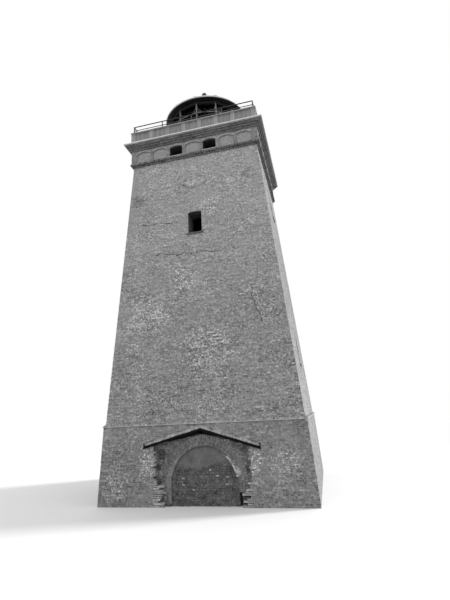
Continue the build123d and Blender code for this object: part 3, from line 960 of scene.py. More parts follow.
middle = (arch["inner"] + arch["outer"]) / 2
step = math.pi * middle / arch["voussoirs"]
cells = []
for index in range(arch["voussoirs"]):
    start = -math.pi / 2 * middle + index * step
    joint = arch["inner"] + arch["bricks"][index % 2]
    for low, high in ((arch["inner"], joint), (joint, arch["outer"])):
        out = max(arch["out"] + draw.normal(0, arch["uneven"]), least)
        tone = arch["tone"][0] + (arch["tone"][1] - arch["tone"][0]) * draw.random()
        cells.append((start, start + step, low, high, out, tone, 0, 0))
onRing = onArc(onScar, (arch["x"], arch["spring"]), middle)
settle(layBricks("archBricks", cells, onRing, None, 92, 0.003, 0.008), "archBrick")

# Teeth of the lost walls: the tower's courses go on into the scar and break off unevenly
tooth = {
    "rows": 27,
    "uneven": 0.30,
    "missing": {"left": 0.05, "right": 0.28},
    "shorter": 0.13,
    "bond": (-0.01, 0.02),
    "least": 0.03,
    "out": (0.002, 0.004),
    "level": (0, 0.62, 0.72, 0.85, 1.45, 1.85),
    "left": (0.33, 0.33, 0.06, 0.07, 0.06, 0.02),
    "right": (0.27, 0.24, 0.16, 0.06, 0.05, 0.02),
}
course = tower["plinthTop"] / round(tower["plinthTop"] / brickSize["course"])
cells = []
for row in range(tooth["rows"]):
    low = row * course
    middle = low + course / 2
    for hand, key in ((-1, "left"), (1, "right")):
        length = np.interp(middle, tooth["level"], tooth[key]) * (1 + draw.normal(0, tooth["uneven"]))
        length += tooth["bond"][row % 2]
        if draw.random() < tooth["missing"][key]:
            length -= tooth["shorter"]
        if length > tooth["least"]:
            ends = sorted((hand * scar["half"], hand * (scar["half"] - length)))
            out = plinthHalf(middle) - scarFace + draw.normal(*tooth["out"])
            cells.append((*ends, low, low + course, out, draw.random(), 0, 0))
teeth = settle(layBricks("toothing", cells, onScar, None, 97, 0.005, 0.004), "toothBrick")
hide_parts("toothing_bricks")


def sheet(name, columns, rows, shape):
    # a grid whose every point comes from its share across and up
    choose()
    bpy.ops.mesh.primitive_grid_add(x_subdivisions=columns, y_subdivisions=rows, size=1)
    piece = bpy.context.object
    piece.name = name
    for vertex in piece.data.vertices:
        vertex.co = shape(vertex.co.x + 0.5, vertex.co.y + 0.5)
    return piece


# Infill: plaster that hangs on the rubble, down to a broken edge
infill = {
    "face": scarFace - 0.06,
    "thick": 0.014,
    "edgeAt": (-1.1, -0.54, -0.12, 0.30, 0.72, 1.2),
    "edge": (1.27, 1.17, 1.09, 1.23, 1.36, 1.25),
    "reach": 1.04,
    "ragged": 0.05,
    "swell": 0.007,
    "head": 1.25,
    "stone": (0.06, 0.16),
    "course": (0.05, 0.06),
    "joint": (0.004, 0.002),
    "out": (0.008, 0.035),
    "lap": 0.04,
    "bed": 0.045,
    "deep": 0.10,
    "tilt": (0.13, 0.15),
}


def ripple(a, b):
    # slow waves that roughen a plastered face
    return 0.5 * math.sin(5.1 * a + 3.3 * b) + 0.3 * math.sin(11.7 * a - 7.9 * b)


def plasterEdge(x):
    return float(np.interp(x, infill["edgeAt"], infill["edge"]))


def plasterPoint(across, upward):
    x = arch["x"] + (across * 2 - 1) * infill["reach"]
    top = arch["spring"] + math.sqrt(arch["inner"] ** 2 - (x - arch["x"]) ** 2) - 0.004
    bottom = min(plasterEdge(x) + infill["ragged"] * ripple(4 * x, 1.7 * x), top - 0.02)
    rim = min(across, 1 - across, upward) < 0.001
    out = 0 if rim else infill["thick"] + infill["swell"] * ripple(2 * x, 3 * upward)
    return Vector((x, -infill["face"] - out, bottom + (top - bottom) * upward))


settle(sheet("infillPlaster", 72, 48, plasterPoint), "infillPlaster", 40)


def modelStone(seed):
    # a quarry stone: a block with its edges knocked off
    stone = block((1, 1, 1), (0, 0, 0), 0.16)
    shake = np.random.default_rng(seed)
    for vertex in stone.data.vertices:
        vertex.co += Vector(shake.normal(0, 0.045, 3))
    return stone


stones = [modelStone(seed) for seed in range(4)]


def layStone(x, z, wide, high, out):
    # one stone of the infill, tilted a little and turned to any of its faces
    spin = Matrix.Rotation(math.pi * int(draw.random() * 2), 4, "Y")
    lean, turn = [draw.normal(0, spread) for spread in infill["tilt"]]
    tilt = Matrix.Rotation(lean, 4, "Y") @ Matrix.Rotation(turn, 4, "Z")
    place = Matrix.Translation((x, -infill["face"] + infill["bed"] - out, z))
    size = Matrix.Diagonal((wide, infill["deep"], high, 1))
    return copied(stones[int(draw.random() * 4)], place @ tilt @ size @ spin)


rubble = []
level = 0.0
while level < infill["head"]:
    high = infill["course"][0] + infill["course"][1] * draw.random()
    x = arch["x"] - arch["inner"] + 0.01
    while x < arch["x"] + arch["inner"] - 0.05:
        wide = infill["stone"][0] + infill["stone"][1] * draw.random() ** 1.5
        wide = min(wide, arch["x"] + arch["inner"] - x)
        middle = level + high / 2 + draw.normal(0, 0.006)
        if middle < plasterEdge(x + wide / 2) + infill["lap"]:
            out = infill["out"][0] + infill["out"][1] * draw.random()
            size = (wide - infill["joint"][0], high - infill["joint"][1])
            rubble.append(layStone(x + wide / 2, middle, *size, out))
        x += wide
    level += high
rubble = joined(rubble, "infillRubble")
for vertex in rubble.data.vertices:
    vertex.co.z = max(vertex.co.z, 0)
settle(rubble, "rubbleStone")

paleBlocks = {
    "places": (
        (-0.70, 0.85), (-0.69, 0.65), (-0.33, 0.50), (0.29, 1.10),
        (0.89, 0.88), (0.86, 0.66), (0.55, 0.92),
    ),
    "size": (0.14, 0.055),
    "out": 0.048,
}
pale = []
for x, z in paleBlocks["places"]:
    wide, high = paleBlocks["size"]
    pale.append(layStone(x, z, wide * (0.6 + 0.5 * draw.random()), high, paleBlocks["out"]))
settle(joined(pale, "paleBlocks"), "palePlaster")
for stone in stones:
    bpy.data.objects.remove(stone)

# Old plaster that still clings to the ring: a pale crescent right, a grey smear left
clinging = {
    "plasterCrescent": {
        "hand": 1,
        "angles": (38, 80),
        "peak": 0.86,
        "radii": (1.16, 1.36),
        "ragged": 0.08,
        "out": 0.020,
        "finish": "flakedPlaster",
    },
    "plasterSmear": {
        "hand": -1,
        "angles": (26, 118),
        "peak": 0.6,
        "radii": (1.20, 1.42),
        "ragged": 0.05,
        "out": 0.014,
        "finish": "dullPlaster",
    },
}


def clingingPoint(across, upward, patch):
    # round the arch and on down its jamb
    first, last = patch["angles"]
    inner, outer = patch["radii"]
    angle = math.radians(first + (last - first) * upward)
    if upward < patch["peak"]:
        swell = (upward / patch["peak"]) ** 0.8
    else:
        swell = math.sqrt(max(1 - ((upward - patch["peak"]) / (1 - patch["peak"])) ** 2, 0))
    radius = inner + (outer - inner) * across * swell
    radius += patch["ragged"] * ripple(19 * upward, 3 * across) * across * swell
    rim = min(across, 1 - across, upward, 1 - upward) < 0.001
    out = 0 if rim else patch["out"] + 0.004 * ripple(9 * upward, 7 * across)
    below = max(angle - math.pi / 2, 0)
    angle = min(angle, math.pi / 2)
    x = arch["x"] + patch["hand"] * radius * math.sin(angle)
    return Vector((x, -scarFace - out, arch["spring"] + radius * (math.cos(angle) - below)))


for name, patch in clinging.items():
    piece = sheet(name, 10, 60, lambda across, upward: clingingPoint(across, upward, patch))
    if patch["hand"] < 0:
        piece.data.flip_normals()
    settle(piece, patch["finish"], 40)

# a short pier of loose bricks stands in the slot beside the infill
slotPier = {"left": 1.285, "right": 1.40, "foot": 0.42, "head": 0.66, "course": 0.06, "out": 0.012}
cells = []
for low in np.arange(slotPier["foot"], slotPier["head"] - 0.01, slotPier["course"]):
    ends = (slotPier["left"] + draw.normal(0, 0.006), slotPier["right"] + draw.normal(0, 0.006))
    out = slotPier["out"] + draw.normal(0, 0.003)
    cells.append((*ends, low, low + slotPier["course"], out, draw.random(), 0, 0))
settle(layBricks("slotPier", cells, onScar, None, 98, 0.004, 0.008), "archBrick")

# Drip: dark slates that overhang the scar, under a pale fillet, with a band of painted shadow below them,
# deepest at the apex
drip = {
    "eaves": ((-2.13, 1.89), (2.13, 1.78)),
    "apex": (0.02, 2.425),
    "slate": (-0.055, 0.034),
    "fillet": (0.034, 0.130),
    "top": (0.128, 0.143),
    "topKept": (0.4, 0.12),
    "tile": 0.16,
    "lap": 0.036,
    "out": 0.055,
    "felt": 0.11,
    "feltReach": (1.5, 0.9),
    "feltOut": 0.075,
    "hook": (0.03, 0.012),
}
onPlinth = onWall(0, plinthHalf)


def alongRoof(wall, start, end):
    # along one slope of the lost roof, square up from it and out of a wall
    length = math.dist(start, end)
    across, rise = (end[0] - start[0]) / length, (end[1] - start[1]) / length

    def place(u, v, out):
        return wall(start[0] + u * across - v * rise, start[1] + u * rise + v * across, out)

    return place, length


slates = []
fillets = []
for hand, eaves, feltReach in zip((-1, 1), drip["eaves"], drip["feltReach"]):
    line = (eaves, drip["apex"]) if hand < 0 else (drip["apex"], eaves)
    onRoof, length = alongRoof(onPlinth, *line)
    underRoof = alongRoof(onScar, *line)[0]
    count = round(length / drip["tile"])
    ends = [length * index / count for index in range(count + 1)]
    ends[-1 if hand < 0 else 0] -= hand * drip["lap"]
    low, high = drip["slate"]
    rows = {"slate": [], "top": [], "felt": [], "fillet": []}
    for left, right in zip(ends, ends[1:]):
        out = drip["out"] + draw.normal(0, 0.003)
        fromApex = length - left if hand < 0 else right
        rows["slate"].append((left, right, low + draw.normal(0, 0.006), high, out, 0.5, 0, 0))
        head = drip["fillet"][1] + draw.normal(0, 0.016)
        rows["fillet"].append((left, right, drip["fillet"][0], head, out * 0.5, draw.random(), 0, 0))
        if length - fromApex < drip["topKept"][0] or draw.random() < drip["topKept"][1]:
            rows["top"].append((left, right, *drip["top"], out * 0.9, 0.5, 0, 0))
        # painted shadow: a band of near-black cells under the slates, deepest at the apex and narrowing away
        # from it
        felt = drip["felt"] * (1 - fromApex / feltReach)
        if felt > 0.01:
            rows["felt"].append((left, right, low - felt, low + 0.02, drip["feltOut"], 0.5, 0, 0))
    for key, place in (("slate", onRoof), ("top", onRoof), ("felt", underRoof)):
        slates.append(layBricks("dripSlates", rows[key], place, None, 93, 0.003, 0.004))
    fillets.append(layBricks("dripFillet", rows["fillet"], onRoof, None, 94, 0.005, -0.004))
    hook = sorted((eaves[0] - hand * drip["hook"][0], eaves[0] + hand * drip["hook"][1]))
    cell = (*hook, eaves[1] + low, eaves[1] + drip["top"][1], drip["out"], 0.5, 0, 0)
    slates.append(layBricks("dripHook", [cell], onPlinth, None, 95, 0.003, 0.002))
slates = settle(joined(slates, "dripSlates"), "slateDrip")
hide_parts("gable_drip")
settle(joined(fillets, "dripFillet"), "toothBrick")
print("scar dressed")


def layShed(names, look):
    # a row that sheds the rain: over a lip and up a slope, round the tower
    # the draws of its last side are given back, because the window sills go on with them
    slopes = []
    lips = []
    for index, turn in enumerate(sides.values()):
        draw = np.random.default_rng(look["seed"] + index)
        place, reach, length = onSlope(turn, look["foot"], look["head"])
        half = look["foot"][0]
        count = round(2 * half / look["pitch"])
        ends = np.linspace(-half, half, count + 1)
        cells = [[], []]
        for number in range(count):
            span = (ends[number], ends[number + 1])
            corners = (number == 0, number == count - 1)
            out = max(look["out"] + draw.normal(0, 0.002), least)
            tone = draw.random() if look["bricks"] else 0.5
            cells[0].append((*span, 0, length, out if look["bricks"] else 0.006, tone, *corners))
            cells[1].append((*span, *look["lip"], out, tone, *corners))
        edge = upright(half)
        rows = ((slopes, place, reach, 10), (lips, onWall(turn, edge), edge, 15))
        for number, (parts, onFace, faceHalf, seed) in enumerate(rows):
            settings = (look["seed"] + seed + index, look["wobble"][number], look["joint"][number])
            parts.append(layBricks(names[number], cells[number], onFace, faceHalf, *settings))
    return slopes, lips, draw


# Set-off: bricks on edge over the lip and up the slope, their lips pale with lime
setoff = {
    "seed": 100,
    "bricks": True,
    "pitch": 0.075,
    "out": 0.006,
    "lip": (tower["plinthTop"], tower["plinthTop"] + 0.03),
    "head": (tower["shaftFootHalf"], tower["shaftFoot"]),
    "wobble": (0.0012, 0.001),
    "joint": (0.008, 0.006),
}
setoff["foot"] = (halfOf("setoff_course"), setoff["lip"][1])
slopes, lips, draw = layShed(("setoffBricks", "setoffLips"), setoff)
settle(joined(slopes, "setoffBricks"), "towerBrick")
settle(joined(lips, "setoffLips"), "limeBrick")

# Window sills: bricks on edge over the front of each seat
sillBrick = {
    "width": 0.76,
    "count": 12,
    "high": 0.076,
    "deep": 0.066,
    "out": 0.052,
    "above": 0.005,
    "gap": 0.007,
    "loose": (0.0015, 0.002),
}
pitch = sillBrick["width"] / sillBrick["count"]
brick = block((pitch - sillBrick["gap"], sillBrick["deep"], sillBrick["high"]), (0, 0, 0), 0.006, 2)
bricks = []
for side in sides:
    for sill in shaftWindows[side]:
        reach = shaftHalf(sill) + sillBrick["out"] - sillBrick["deep"] / 2
        for number in range(sillBrick["count"]):
            x = (number + 0.5) * pitch - sillBrick["width"] / 2
            z = sill - sillBrick["high"] / 2 + sillBrick["above"] + draw.normal(0, sillBrick["loose"][0])
            y = -reach + draw.normal(0, sillBrick["loose"][1])
            bricks.append(copied(brick, turnedTo(side, (x, y, z))))
bpy.data.objects.remove(brick)
settle(joined(bricks, "sillBricks"), "sillBrick")
print("sills set")

# Corbel and cornice: one course of headers a step, seen from in front and from below
stepped = {"corbel": 2, "cornice": 4, "worn": (0.08, 0.05), "proud": (0.006, 0.003)}


def stepsOf(count, foot, head, inner, outer):
    # the foot, head, half width and overhang of each course
    high, over = (head - foot) / count, (outer - inner) / count
    feet = [foot + number * high for number in range(count)]
    return [(low, low + high, inner + (number + 1) * over, over) for number, low in enumerate(feet)]


def layStepped(name, finish, steps, seed):
    front, under = zip(stepped["worn"], stepped["proud"])
    parts = []
    for number, (foot, head, half, over) in enumerate(steps):
        for index, turn in enumerate(sides.values()):
            draw = np.random.default_rng(seed + 10 * number + index)
            face = upright(half)
            cells = courseCells(draw, -half, half, foot, head, 1 - number % 2, (1, 1), *front)
            parts.append(layBricks(name, cells, onWall(turn, face), face, seed + number))
            cells = courseCells(draw, -half, half, half - over, half, 0, (1, 1), *under)
            onSoffit = onSide(turn, lambda v, out: v, lambda v, out: foot - out)
            parts.append(layBricks(name, cells, onSoffit, lambda level: level, seed + 5 + number))
    settle(joined(parts, name), finish)


edges = (tower["shaftHead"], tower["friezeFoot"], tower["shaftHeadHalf"], halfOf("corbel_course"))
# the corbel and all but the last cornice course take darker bricks, as painted shade
layStepped("corbelBricks", "stainedBrick", stepsOf(stepped["corbel"], *edges), 200)
edges = (tower["friezeHead"], tower["gallery"], tower["friezeHalf"], tower["corniceHalf"])
steps = stepsOf(stepped["cornice"], *edges)
layStepped("corniceBricks", "corniceBrick", steps[:-1], 300)
layStepped("corniceEdge", "edgeBrick", steps[-1:], 350)

# a fillet of pale mortar sheds the rain off the cornice
fillet = {
    "seed": 370,
    "bricks": False,
    "pitch": 0.6,
    "out": 0.028,
    "lip": (tower["gallery"] - 0.046, tower["gallery"] + 0.004),
    "foot": (tower["corniceHalf"], tower["gallery"]),
    "head": (tower["parapetHalf"] - 0.03, tower["gallery"] + 0.05),
    "wobble": (0.002, 0.003),
    "joint": (-0.006, -0.006),
}
slopes, lips = layShed(("corniceSlopes", "corniceLips"), fillet)[:2]
settle(joined(slopes + lips, "corniceFillet"), "corniceFillet")

# Frieze: seven arched bays a side, two of them windows
frieze = {
    "pitch": 0.83,
    "bays": 7,
    "windows": (2, 4),
    "sill": footOf("front_frieze") + 0.05,
    "sillBrick": {"half": 0.36, "below": 0.05, "above": 0.003, "out": 0.03},
    "niche": {"width": 0.72, "height": 0.56, "rise": 0.11, "voussoirs": 11},
    "window": {"width": 0.64, "height": 0.55, "rise": 0.07, "voussoirs": 10},
    "ring": 0.10,
    "ringTone": 0.9,
    "ringOut": 0.014,
    "worn": 0.12,
}
friezeHalf = upright(tower["friezeHalf"])


def archedGap(centre, bay):
    radius = headRadius(bay["width"], bay["rise"])
    middle = frieze["sill"] + bay["height"] - radius
    spring = frieze["sill"] + bay["height"] - bay["rise"]
    outer = radius + frieze["ring"]

    def gap(level):
        if frieze["sill"] <= level < spring:
            reach = bay["width"] / 2 + 0.004
        elif spring <= level < middle + outer:
            reach = min(math.sqrt(outer ** 2 - (level - middle) ** 2), frieze["pitch"] / 2 - 0.002)
        else:
            return None
        return (centre - reach, centre + reach)

    return gap


bays = []
for number in range(frieze["bays"]):
    kind = "window" if number in frieze["windows"] else "niche"
    bays.append(((number - (frieze["bays"] - 1) / 2) * frieze["pitch"], frieze[kind]))
gaps = [archedGap(*bay) for bay in bays]
sills = []
arches = []
for index, (side, turn) in enumerate(sides.items()):
    draw = np.random.default_rng(120 + index)
    place = onWall(turn, friezeHalf)
    levels = (tower["friezeFoot"], tower["friezeHead"])
    cells = wallCells(draw, *levels, friezeHalf, gaps, index % 2, frieze["worn"])
    piece = layBricks(f"{side}FriezeBricks", cells, place, friezeHalf, 130 + index)
    settle(piece, "trimBrick")
    for centre, bay in bays:
        shape = (bay["width"], bay["rise"], frieze["ring"], bay["voussoirs"])
        cells, radius, middle = archCells(draw, *shape, frieze["ringTone"], frieze["ringOut"])
        crown = (centre, frieze["sill"] + bay["height"] - radius)
        arches.append(layBricks("friezeArch", cells, onArc(place, crown, middle), None, 140 + index))
    seat = frieze["sillBrick"]
    for centre in [bays[number][0] for number in frieze["windows"]]:
        span = (centre - seat["half"], centre + seat["half"])
        levels = (frieze["sill"] - seat["below"], frieze["sill"] + seat["above"])
        cells = courseCells(draw, *span, *levels, 0, (0, 0), 0, seat["out"])
        sills.append(layBricks("friezeSills", cells, place, None, 150 + index, 0.002, 0.008))
settle(joined(sills, "friezeSills"), "paleBrick")
settle(joined(arches, "friezeArches"), "edgeBrick")
print("frieze and cornice laid")

# Coping: slabs with open joints round the parapet
coping = {"slabs": 9, "gap": 0.008, "bevel": 0.008, "lap": 0.25, "loose": (0.002, 0.004, 0.0015)}
low, high = tower["copingFoot"], tower["copingHead"]
outer = halfOf("parapet_coping")
wide = 2 * (outer - tower["parapetHalf"]) + coping["lap"]
length = 2 * (outer - wide) / coping["slabs"]
slab = block((length - coping["gap"], wide, high - low), (0, 0, 0), coping["bevel"], 2)
corner = block((wide, wide, high - low), (0, 0, 0), coping["bevel"], 2)
slabs = []
draw = np.random.default_rng(160)
for side in sides:
    for number in range(coping["slabs"]):
        x = -outer + wide + (number + 0.5) * length
        z = (low + high) / 2 - coping["loose"][0] * draw.random()
        place = turnedTo(side, (x, -outer + wide / 2 + coping["loose"][1] * draw.random(), z))
        slabs.append(copied(slab, place @ Matrix.Rotation(draw.normal(0, coping["loose"][2]), 4, "Z")))
    slabs.append(copied(corner, turnedTo(side, (-outer + wide / 2, -outer + wide / 2, (low + high) / 2))))
bpy.data.objects.remove(slab)
bpy.data.objects.remove(corner)
slabs = settle(joined(slabs, "copingSlabs"), "copingStone")
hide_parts("parapet_coping")

# Railing: a foot plate with four bolts under each post, a collar where the flat bar meets it
railing = {
    "half": 3.06,
    "bays": 4,
    "plate": (0.11, 0.11, 0.012),
    "bolts": 0.038,
    "collar": (0.05, 0.05, 0.06),
}
railFoot = footOf("railing_posts")
midRail = (footOf("mid_rail") + topOf("mid_rail")) / 2
pitch = 2 * railing["half"] / railing["bays"]
pieces = [block(railing["plate"], (0, 0, railing["plate"][2] / 2), 0.003)]
for x in (-railing["bolts"], railing["bolts"]):
    for y in (-railing["bolts"], railing["bolts"]):
        pieces.append(bolt((x, y, railing["plate"][2]), (0, 0, 1), 0.009))
pieces.append(block(railing["collar"], (0, 0, midRail - railFoot), 0.006))
foot = joined(pieces, "railFoot")
feet = []
for side in sides:
    for number in range(railing["bays"]):
        x = -railing["half"] + number * pitch
        feet.append(copied(foot, turnedTo(side, (x, -railing["half"], railFoot))))
bpy.data.objects.remove(foot)
settle(joined(feet, "railFeet"), "darkIron")
print("coping and railing made")

# Lantern house: cover straps and rivets on the base's plates
lantern = {
    "sides": 12,
    "corner": 2.0,
    "foot": tower["gallery"],
    "baseHead": topOf("lantern_base"),
    "sillHead": topOf("lantern_sill"),
    "head": footOf("head_ring"),
    "eave": footOf("eave_gutter"),
    "domeFoot": topOf("eave_gutter"),
    "strap": (0.09, 0.010),
    "band": 0.07,
    "rivetPitch": 0.14,
    "ringOut": 0.03,
}
halfTurn = math.pi / lantern["sides"]


def roundLantern(pieces, name, finish, smoothAngle=None):
    # one side's pieces, copied round all sides of the lantern
    piece = copiedRound(joined(pieces, name), lantern["sides"], name, halfTurn)
    return settle(piece, finish, smoothAngle)


plateFace = lantern["corner"] * math.cos(halfTurn)
plateWide = 2 * plateFace * math.tan(halfTurn)
strapWide, strapThick = lantern["strap"]
band = lantern["band"]
baseHigh = lantern["baseHead"] - lantern["foot"]
centre = (0, -plateFace - strapThick / 2, lantern["foot"] + baseHigh / 2)
pieces = [block((strapWide, strapThick, baseHigh), centre, 0.003)]
for level in (lantern["foot"] + band / 2, lantern["baseHead"] - band / 2):
    size = (plateWide + 0.004, strapThick * 1.3, band)
    pieces.append(block(size, (0, -plateFace - strapThick * 0.65, level), 0.003))
    for number in (-3, -2, -1, 1, 2, 3):
        head = (number * lantern["rivetPitch"] * 0.95, -plateFace - strapThick * 1.3, level)
        pieces.append(bolt(head, (0, -1, 0)))
rows = round((baseHigh - 2 * band) / lantern["rivetPitch"])
for number in range(1, rows):
    level = lantern["foot"] + band + number * (baseHigh - 2 * band) / rows
    for x in (-strapWide / 4, strapWide / 4):
        pieces.append(bolt((x, -plateFace - strapThick, level), (0, -1, 0)))
roundLantern(pieces, "basePlating", "paleIron")

# Glazing beads round both lights of each bay, near black as painted shade
glass = {
    "postCentre": 1.955,
    "post": 0.06,
    "half": 0.005,
    "transom": 0.86,
    "bar": 0.04,
    "bead": 0.022,
    "deep": 0.016,
}
paneFace = glass["postCentre"] * math.cos(halfTurn)
paneHalf = paneFace * math.tan(halfTurn) - glass["post"] / 2 / math.cos(halfTurn)
transomFoot = lantern["sillHead"] + glass["transom"]
beadY = -paneFace - glass["half"] - glass["deep"] / 2
bead, deep = glass["bead"], glass["deep"]
beads = []
for low, high in ((lantern["sillHead"], transomFoot), (transomFoot + glass["bar"], lantern["head"])):
    for x in (-paneHalf + bead / 2, paneHalf - bead / 2):
        beads.append(block((bead, deep, high - low), (x, beadY, (low + high) / 2), 0.004))
    for z in (low + bead / 2, high - bead / 2):
        beads.append(block((2 * (paneHalf - bead), deep, bead), (0, beadY, z), 0.004))
roundLantern(beads, "glazingBeads", "ceilingIron")

# Brackets: a quarter ring of flat bar in the upper corners of each bay
bracket = {"radius": 0.22, "wide": 0.019, "thick": 0.020, "bite": 0.006, "steps": 10}
footX = paneHalf + (glass["half"] + bracket["thick"]) * math.tan(halfTurn)
pivotZ = lantern["head"] + bracket["bite"] - bracket["radius"]
pivot = (footX - bracket["radius"], -paneFace - glass["half"], pivotZ)
choose()
bpy.ops.mesh.primitive_plane_add(size=1)
arm = bpy.context.object
arm.data.transform(Matrix.Diagonal((bracket["wide"], bracket["thick"], 1, 1)))
across = pivot[0] + bracket["radius"] - bracket["wide"] / 2
arm.data.transform(Matrix.Translation((across, pivot[1] - bracket["thick"] / 2, pivot[2])))
editAll()
bpy.ops.mesh.spin(steps=bracket["steps"], angle=math.pi / 2, center=pivot, axis=(0, -1, 0))
bpy.ops.mesh.select_all(action="SELECT")
bpy.ops.mesh.normals_make_consistent(inside=False)
editDone()
arms = [arm, copied(arm, Matrix.Scale(-1, 4, (1, 0, 0)))]
brackets = roundLantern(arms, "headBrackets", "barIron", 30)
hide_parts("post_brackets")

ringFace = (lantern["corner"] + lantern["ringOut"]) * math.cos(halfTurn)
heads = []
for number in range(-3, 4):
    place = (lantern["rivetPitch"] * number, -ringFace, lantern["head"] + 0.06)
    heads.append(bolt(place, (0, -1, 0), 0.014))
roundLantern(heads, "ringBolts", "darkIron")
print("lantern house made")


def outlineAt(radius, level, steps):
    # points of an outline, by how far they are out and up from one place
    return [(radius + out, level + up) for out, up in steps]


# Gutter: a round eave that flares out to a rolled lip
eave = {
    "inner": 1.866,
    "ring": 2.03,
    "lip": tower["eaveHalf"] - 0.002,
    "flare": 0.062,
    "steps": 8,
    "roll": (
        (0, -0.030), (0, -0.012), (-0.008, -0.003), (-0.020, -0.001),
        (-0.028, -0.012), (-0.045, -0.020), (-0.075, -0.012),
    ),
}
outline = [(eave["inner"], lantern["eave"] + 0.001)]
for index in range(eave["steps"] + 1):
    angle = index / eave["steps"] * math.pi / 2
    radius = eave["ring"] + (eave["lip"] - 0.004 - eave["ring"]) * math.sin(angle)
    outline.append((radius, lantern["eave"] + (1 - math.cos(angle)) * eave["flare"]))
outline += outlineAt(eave["lip"], lantern["domeFoot"], eave["roll"])
outline.append((eave["inner"], lantern["domeFoot"] - 0.002))
gutter = settle(turned("gutter", outline, 96), "gutterIron", 35)
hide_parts("eave_gutter")

# Dome: twelve curved sheets, with a near-black sheet under them as painted shade, and a standing seam on each
# corner
dome = {"radius": 2.19, "rise": 1.0, "shell": 0.024, "lining": (0.001, 0.007), "crown": 0.235, "steps": 22}
seam = {"wide": 0.046, "high": 0.034, "sunk": 0.01, "crown": 0.30, "edge": 0.009}
ball = (dome["radius"] ** 2 + dome["rise"] ** 2) / (2 * dome["rise"])
ballCentre = lantern["domeFoot"] + dome["rise"] - ball


def domeLine(radius, crown):
    # points up the dome along a corner, at this radius of its ball
    first = math.asin((lantern["domeFoot"] - ballCentre) / radius)
    last = math.acos(crown / radius)
    points = []
    for index in range(dome["steps"] + 1):
        angle = first + (last - first) * index / dome["steps"]
        out = radius * math.cos(angle) / math.cos(halfTurn)
        points.append((out, ballCentre + radius * math.sin(angle)))
    return points


def domeShell(name, outer, inner, finish):
    outline = domeLine(outer, dome["crown"]) + domeLine(inner, dome["crown"])[::-1]
    return settle(turned(name, outline, lantern["sides"]), finish, 12)


under = ball - dome["shell"]
skin = domeShell("domeSkin", ball, under, "paleIron")
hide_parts("lantern_dome")
# a near-black sheet under the dome, as painted shade
domeShell("domeLining", under - dome["lining"][0], under - dome["lining"][1], "ceilingIron")

upper = domeLine(ball + seam["high"], seam["crown"])
lower = domeLine(ball - seam["sunk"], seam["crown"])
count = len(upper)
quads = [(i, i + 1, count + i + 1, count + i) for i in range(count - 1)]
strip = newPiece("domeSeams", [(x, 0, z) for x, z in upper + lower], [], quads)
choose(strip)
thick = strip.modifiers.new("thickness", "SOLIDIFY")
thick.thickness = seam["wide"]
thick.offset = 0
bpy.ops.object.modifier_apply(modifier=thick.name)
soft = strip.modifiers.new("edges", "BEVEL")
soft.width = seam["edge"]
soft.segments = 2
bpy.ops.object.modifier_apply(modifier=soft.name)
seams = settle(copiedRound(strip, lantern["sides"], "domeSeams"), "paleIron", 30)
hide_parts("dome_ribs")

# Roof vent: a drum with slots under a rolled cap
vent = {
    "radius": 0.25,
    "cap": 0.26,
    "reach": 0.345,
    "vane": (0.018, 0.010, 0.17),
    "vanes": 32,
    "foot": ((-0.02, 0), (0, 0), (0, 0.03), (0.012, 0.035), (0.012, 0.07), (0, 0.075)),
    "neck": ((0, -0.05), (0.012, -0.045), (0.012, 0.001), (-0.02, 0.001)),
    "brim": ((-0.02, 0), (0, 0.008), (0, 0.022)),
}
ventFoot, capFoot = footOf("roof_vent"), topOf("roof_vent") - vent["cap"]
drum = outlineAt(vent["radius"], ventFoot, vent["foot"]) + outlineAt(vent["radius"], capFoot, vent["neck"])
cap = [(0, capFoot)] + outlineAt(vent["reach"], capFoot, vent["brim"])
for share in [index / 8 for index in range(9)]:
    radius = 0.045 + (vent["reach"] - 0.065) * (1 - share) ** 0.8
    cap.append((radius, capFoot + 0.03 + (vent["cap"] - 0.03) * share ** 1.25))
cap.append((0, topOf("roof_vent")))
vane = block(vent["vane"], (0, -vent["radius"] - 0.004, (ventFoot + capFoot) / 2 + 0.01), 0.003)
vanes = copiedRound(vane, vent["vanes"], "ventVanes")
pieces = [turned("ventDrum", drum, 48), turned("ventCap", cap, 48, False), vanes]
roofVent = settle(joined(pieces, "roofVent"), "paleIron", 30)
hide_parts("roof_vent")

# Finial: a ball between collars on a rod
finial = {
    "ball": 0.146,
    "rise": 0.38,
    "steps": 16,
    "foot": ((0, 0), (0.040, 0), (0.040, 0.03), (0.026, 0.05)),
    "under": ((0.026, -0.03), (0.038, -0.02)),
    "tip": ((0.008, -0.01), (0, 0)),
}
ball = finial["ball"]
ballLevel = footOf("finial") + finial["rise"]
rod = outlineAt(0, footOf("finial"), finial["foot"]) + outlineAt(0, ballLevel - ball, finial["under"])
start = math.asin(0.2)
for index in range(finial["steps"] + 1):
    angle = -math.pi / 2 + start + (math.pi - 2 * start) * index / finial["steps"]
    rod.append((ball * math.cos(angle), ballLevel + ball * math.sin(angle)))
rod += [(0.020, ballLevel + ball + 0.008)] + outlineAt(0, topOf("finial"), finial["tip"])
finialBall = settle(turned("finialBall", rod, 32, False), "darkIron", 35)
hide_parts("finial")
print("dome, vent and finial made")

# Camera, at the photograph's angle
view = {
    "place": (4.5248, -19.0626, 3.0777),
    "lens": 24.623,
    "sensor": 36,
    "shift": (0.03, -0.075),
    "pan": 0.250785,
    "tilt": 0.359066,
    "roll": -0.053358,
}
cameraData = bpy.data.cameras.new("photoView")
cameraData.lens = view["lens"]
cameraData.sensor_width = view["sensor"]
cameraData.shift_x, cameraData.shift_y = view["shift"]
cameraData.clip_end = 500
camera = bpy.data.objects.new("photoView", cameraData)
bpy.context.scene.collection.objects.link(camera)
lean = Matrix.Rotation(math.pi / 2 + view["tilt"], 4, "X") @ Matrix.Rotation(view["roll"], 4, "Z")
camera.matrix_world = Matrix.Translation(view["place"]) @ Matrix.Rotation(view["pan"], 4, "Z") @ lean
bpy.context.scene.camera = camera
bpy.context.scene.view_settings.view_transform = "Standard"

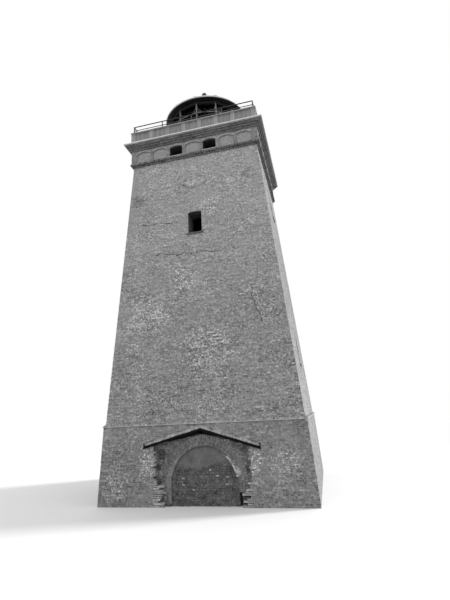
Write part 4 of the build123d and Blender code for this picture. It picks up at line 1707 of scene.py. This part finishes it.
# Light: an even sky, a soft sun from the right and a little behind, a pale floor
light = {"sky": 1.0, "sun": 2.9, "sunWay": (0.8, 0.35, 0.5), "sunSize": 12}
sunData = bpy.data.lights.new("softSun", "SUN")
sunData.energy = light["sun"]
sunData.angle = math.radians(light["sunSize"])
sun = bpy.data.objects.new("softSun", sunData)
sun.rotation_euler = Vector(light["sunWay"]).to_track_quat("Z", "Y").to_euler()
bpy.context.scene.collection.objects.link(sun)

world = bpy.data.worlds.new("paleSky")
world.use_nodes = True
bpy.context.scene.world = world
# what the camera, metal and glass see of it stays white, whatever light it gives
skyNodes = world.node_tree.nodes
skyLinks = world.node_tree.links
rays = skyNodes.new("ShaderNodeLightPath")
seen = rays.outputs["Is Camera Ray"]
for kind in ("Is Transmission Ray", "Is Glossy Ray"):
    either = skyNodes.new("ShaderNodeMath")
    either.operation = "MAXIMUM"
    skyLinks.new(seen, either.inputs[0])
    skyLinks.new(rays.outputs[kind], either.inputs[1])
    seen = either.outputs[0]
strength = skyNodes.new("ShaderNodeMapRange")
skyLinks.new(seen, strength.inputs["Value"])
strength.inputs["To Min"].default_value = light["sky"]
strength.inputs["To Max"].default_value = 1.0
skyLinks.new(strength.outputs[0], skyNodes["Background"].inputs["Strength"])
skyNodes["Background"].inputs["Color"].default_value = (1, 1, 1, 1)

# the floor fades to the white of the sky, so that no horizon shows
ground = {"radius": 150, "seen": 0.80, "felt": 0.30, "fade": (9, 24)}
choose()
bpy.ops.mesh.primitive_circle_add(vertices=96, radius=ground["radius"], fill_type="NGON")
floor = bpy.context.object
floor.name = "floor"
paving = Finish("paleFloor", 1.1)
camRay = paving.node("ShaderNodeLightPath", {}, {}, "Is Camera Ray")
paving.wear(camRay * (ground["seen"] - ground["felt"]) + ground["felt"], 1.0)
glow = paving.node("ShaderNodeEmission", {}, {"Color": (1, 1, 1, 1), "Strength": 1.0})
fade = camRay * distance(paving.x, paving.y).step(*ground["fade"])
lit = Wire(paving, paving.surface.outputs[0])
mixed = paving.node("ShaderNodeMixShader", {}, {0: fade, 1: lit, 2: glow})
paving.plug(paving.output, "Surface", mixed)
floor.data.materials.append(paving.material)
floor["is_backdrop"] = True
print("stage set")

size = {"cad": [list(corner) for corner in cadBox], "visual": [list(corner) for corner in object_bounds()]}
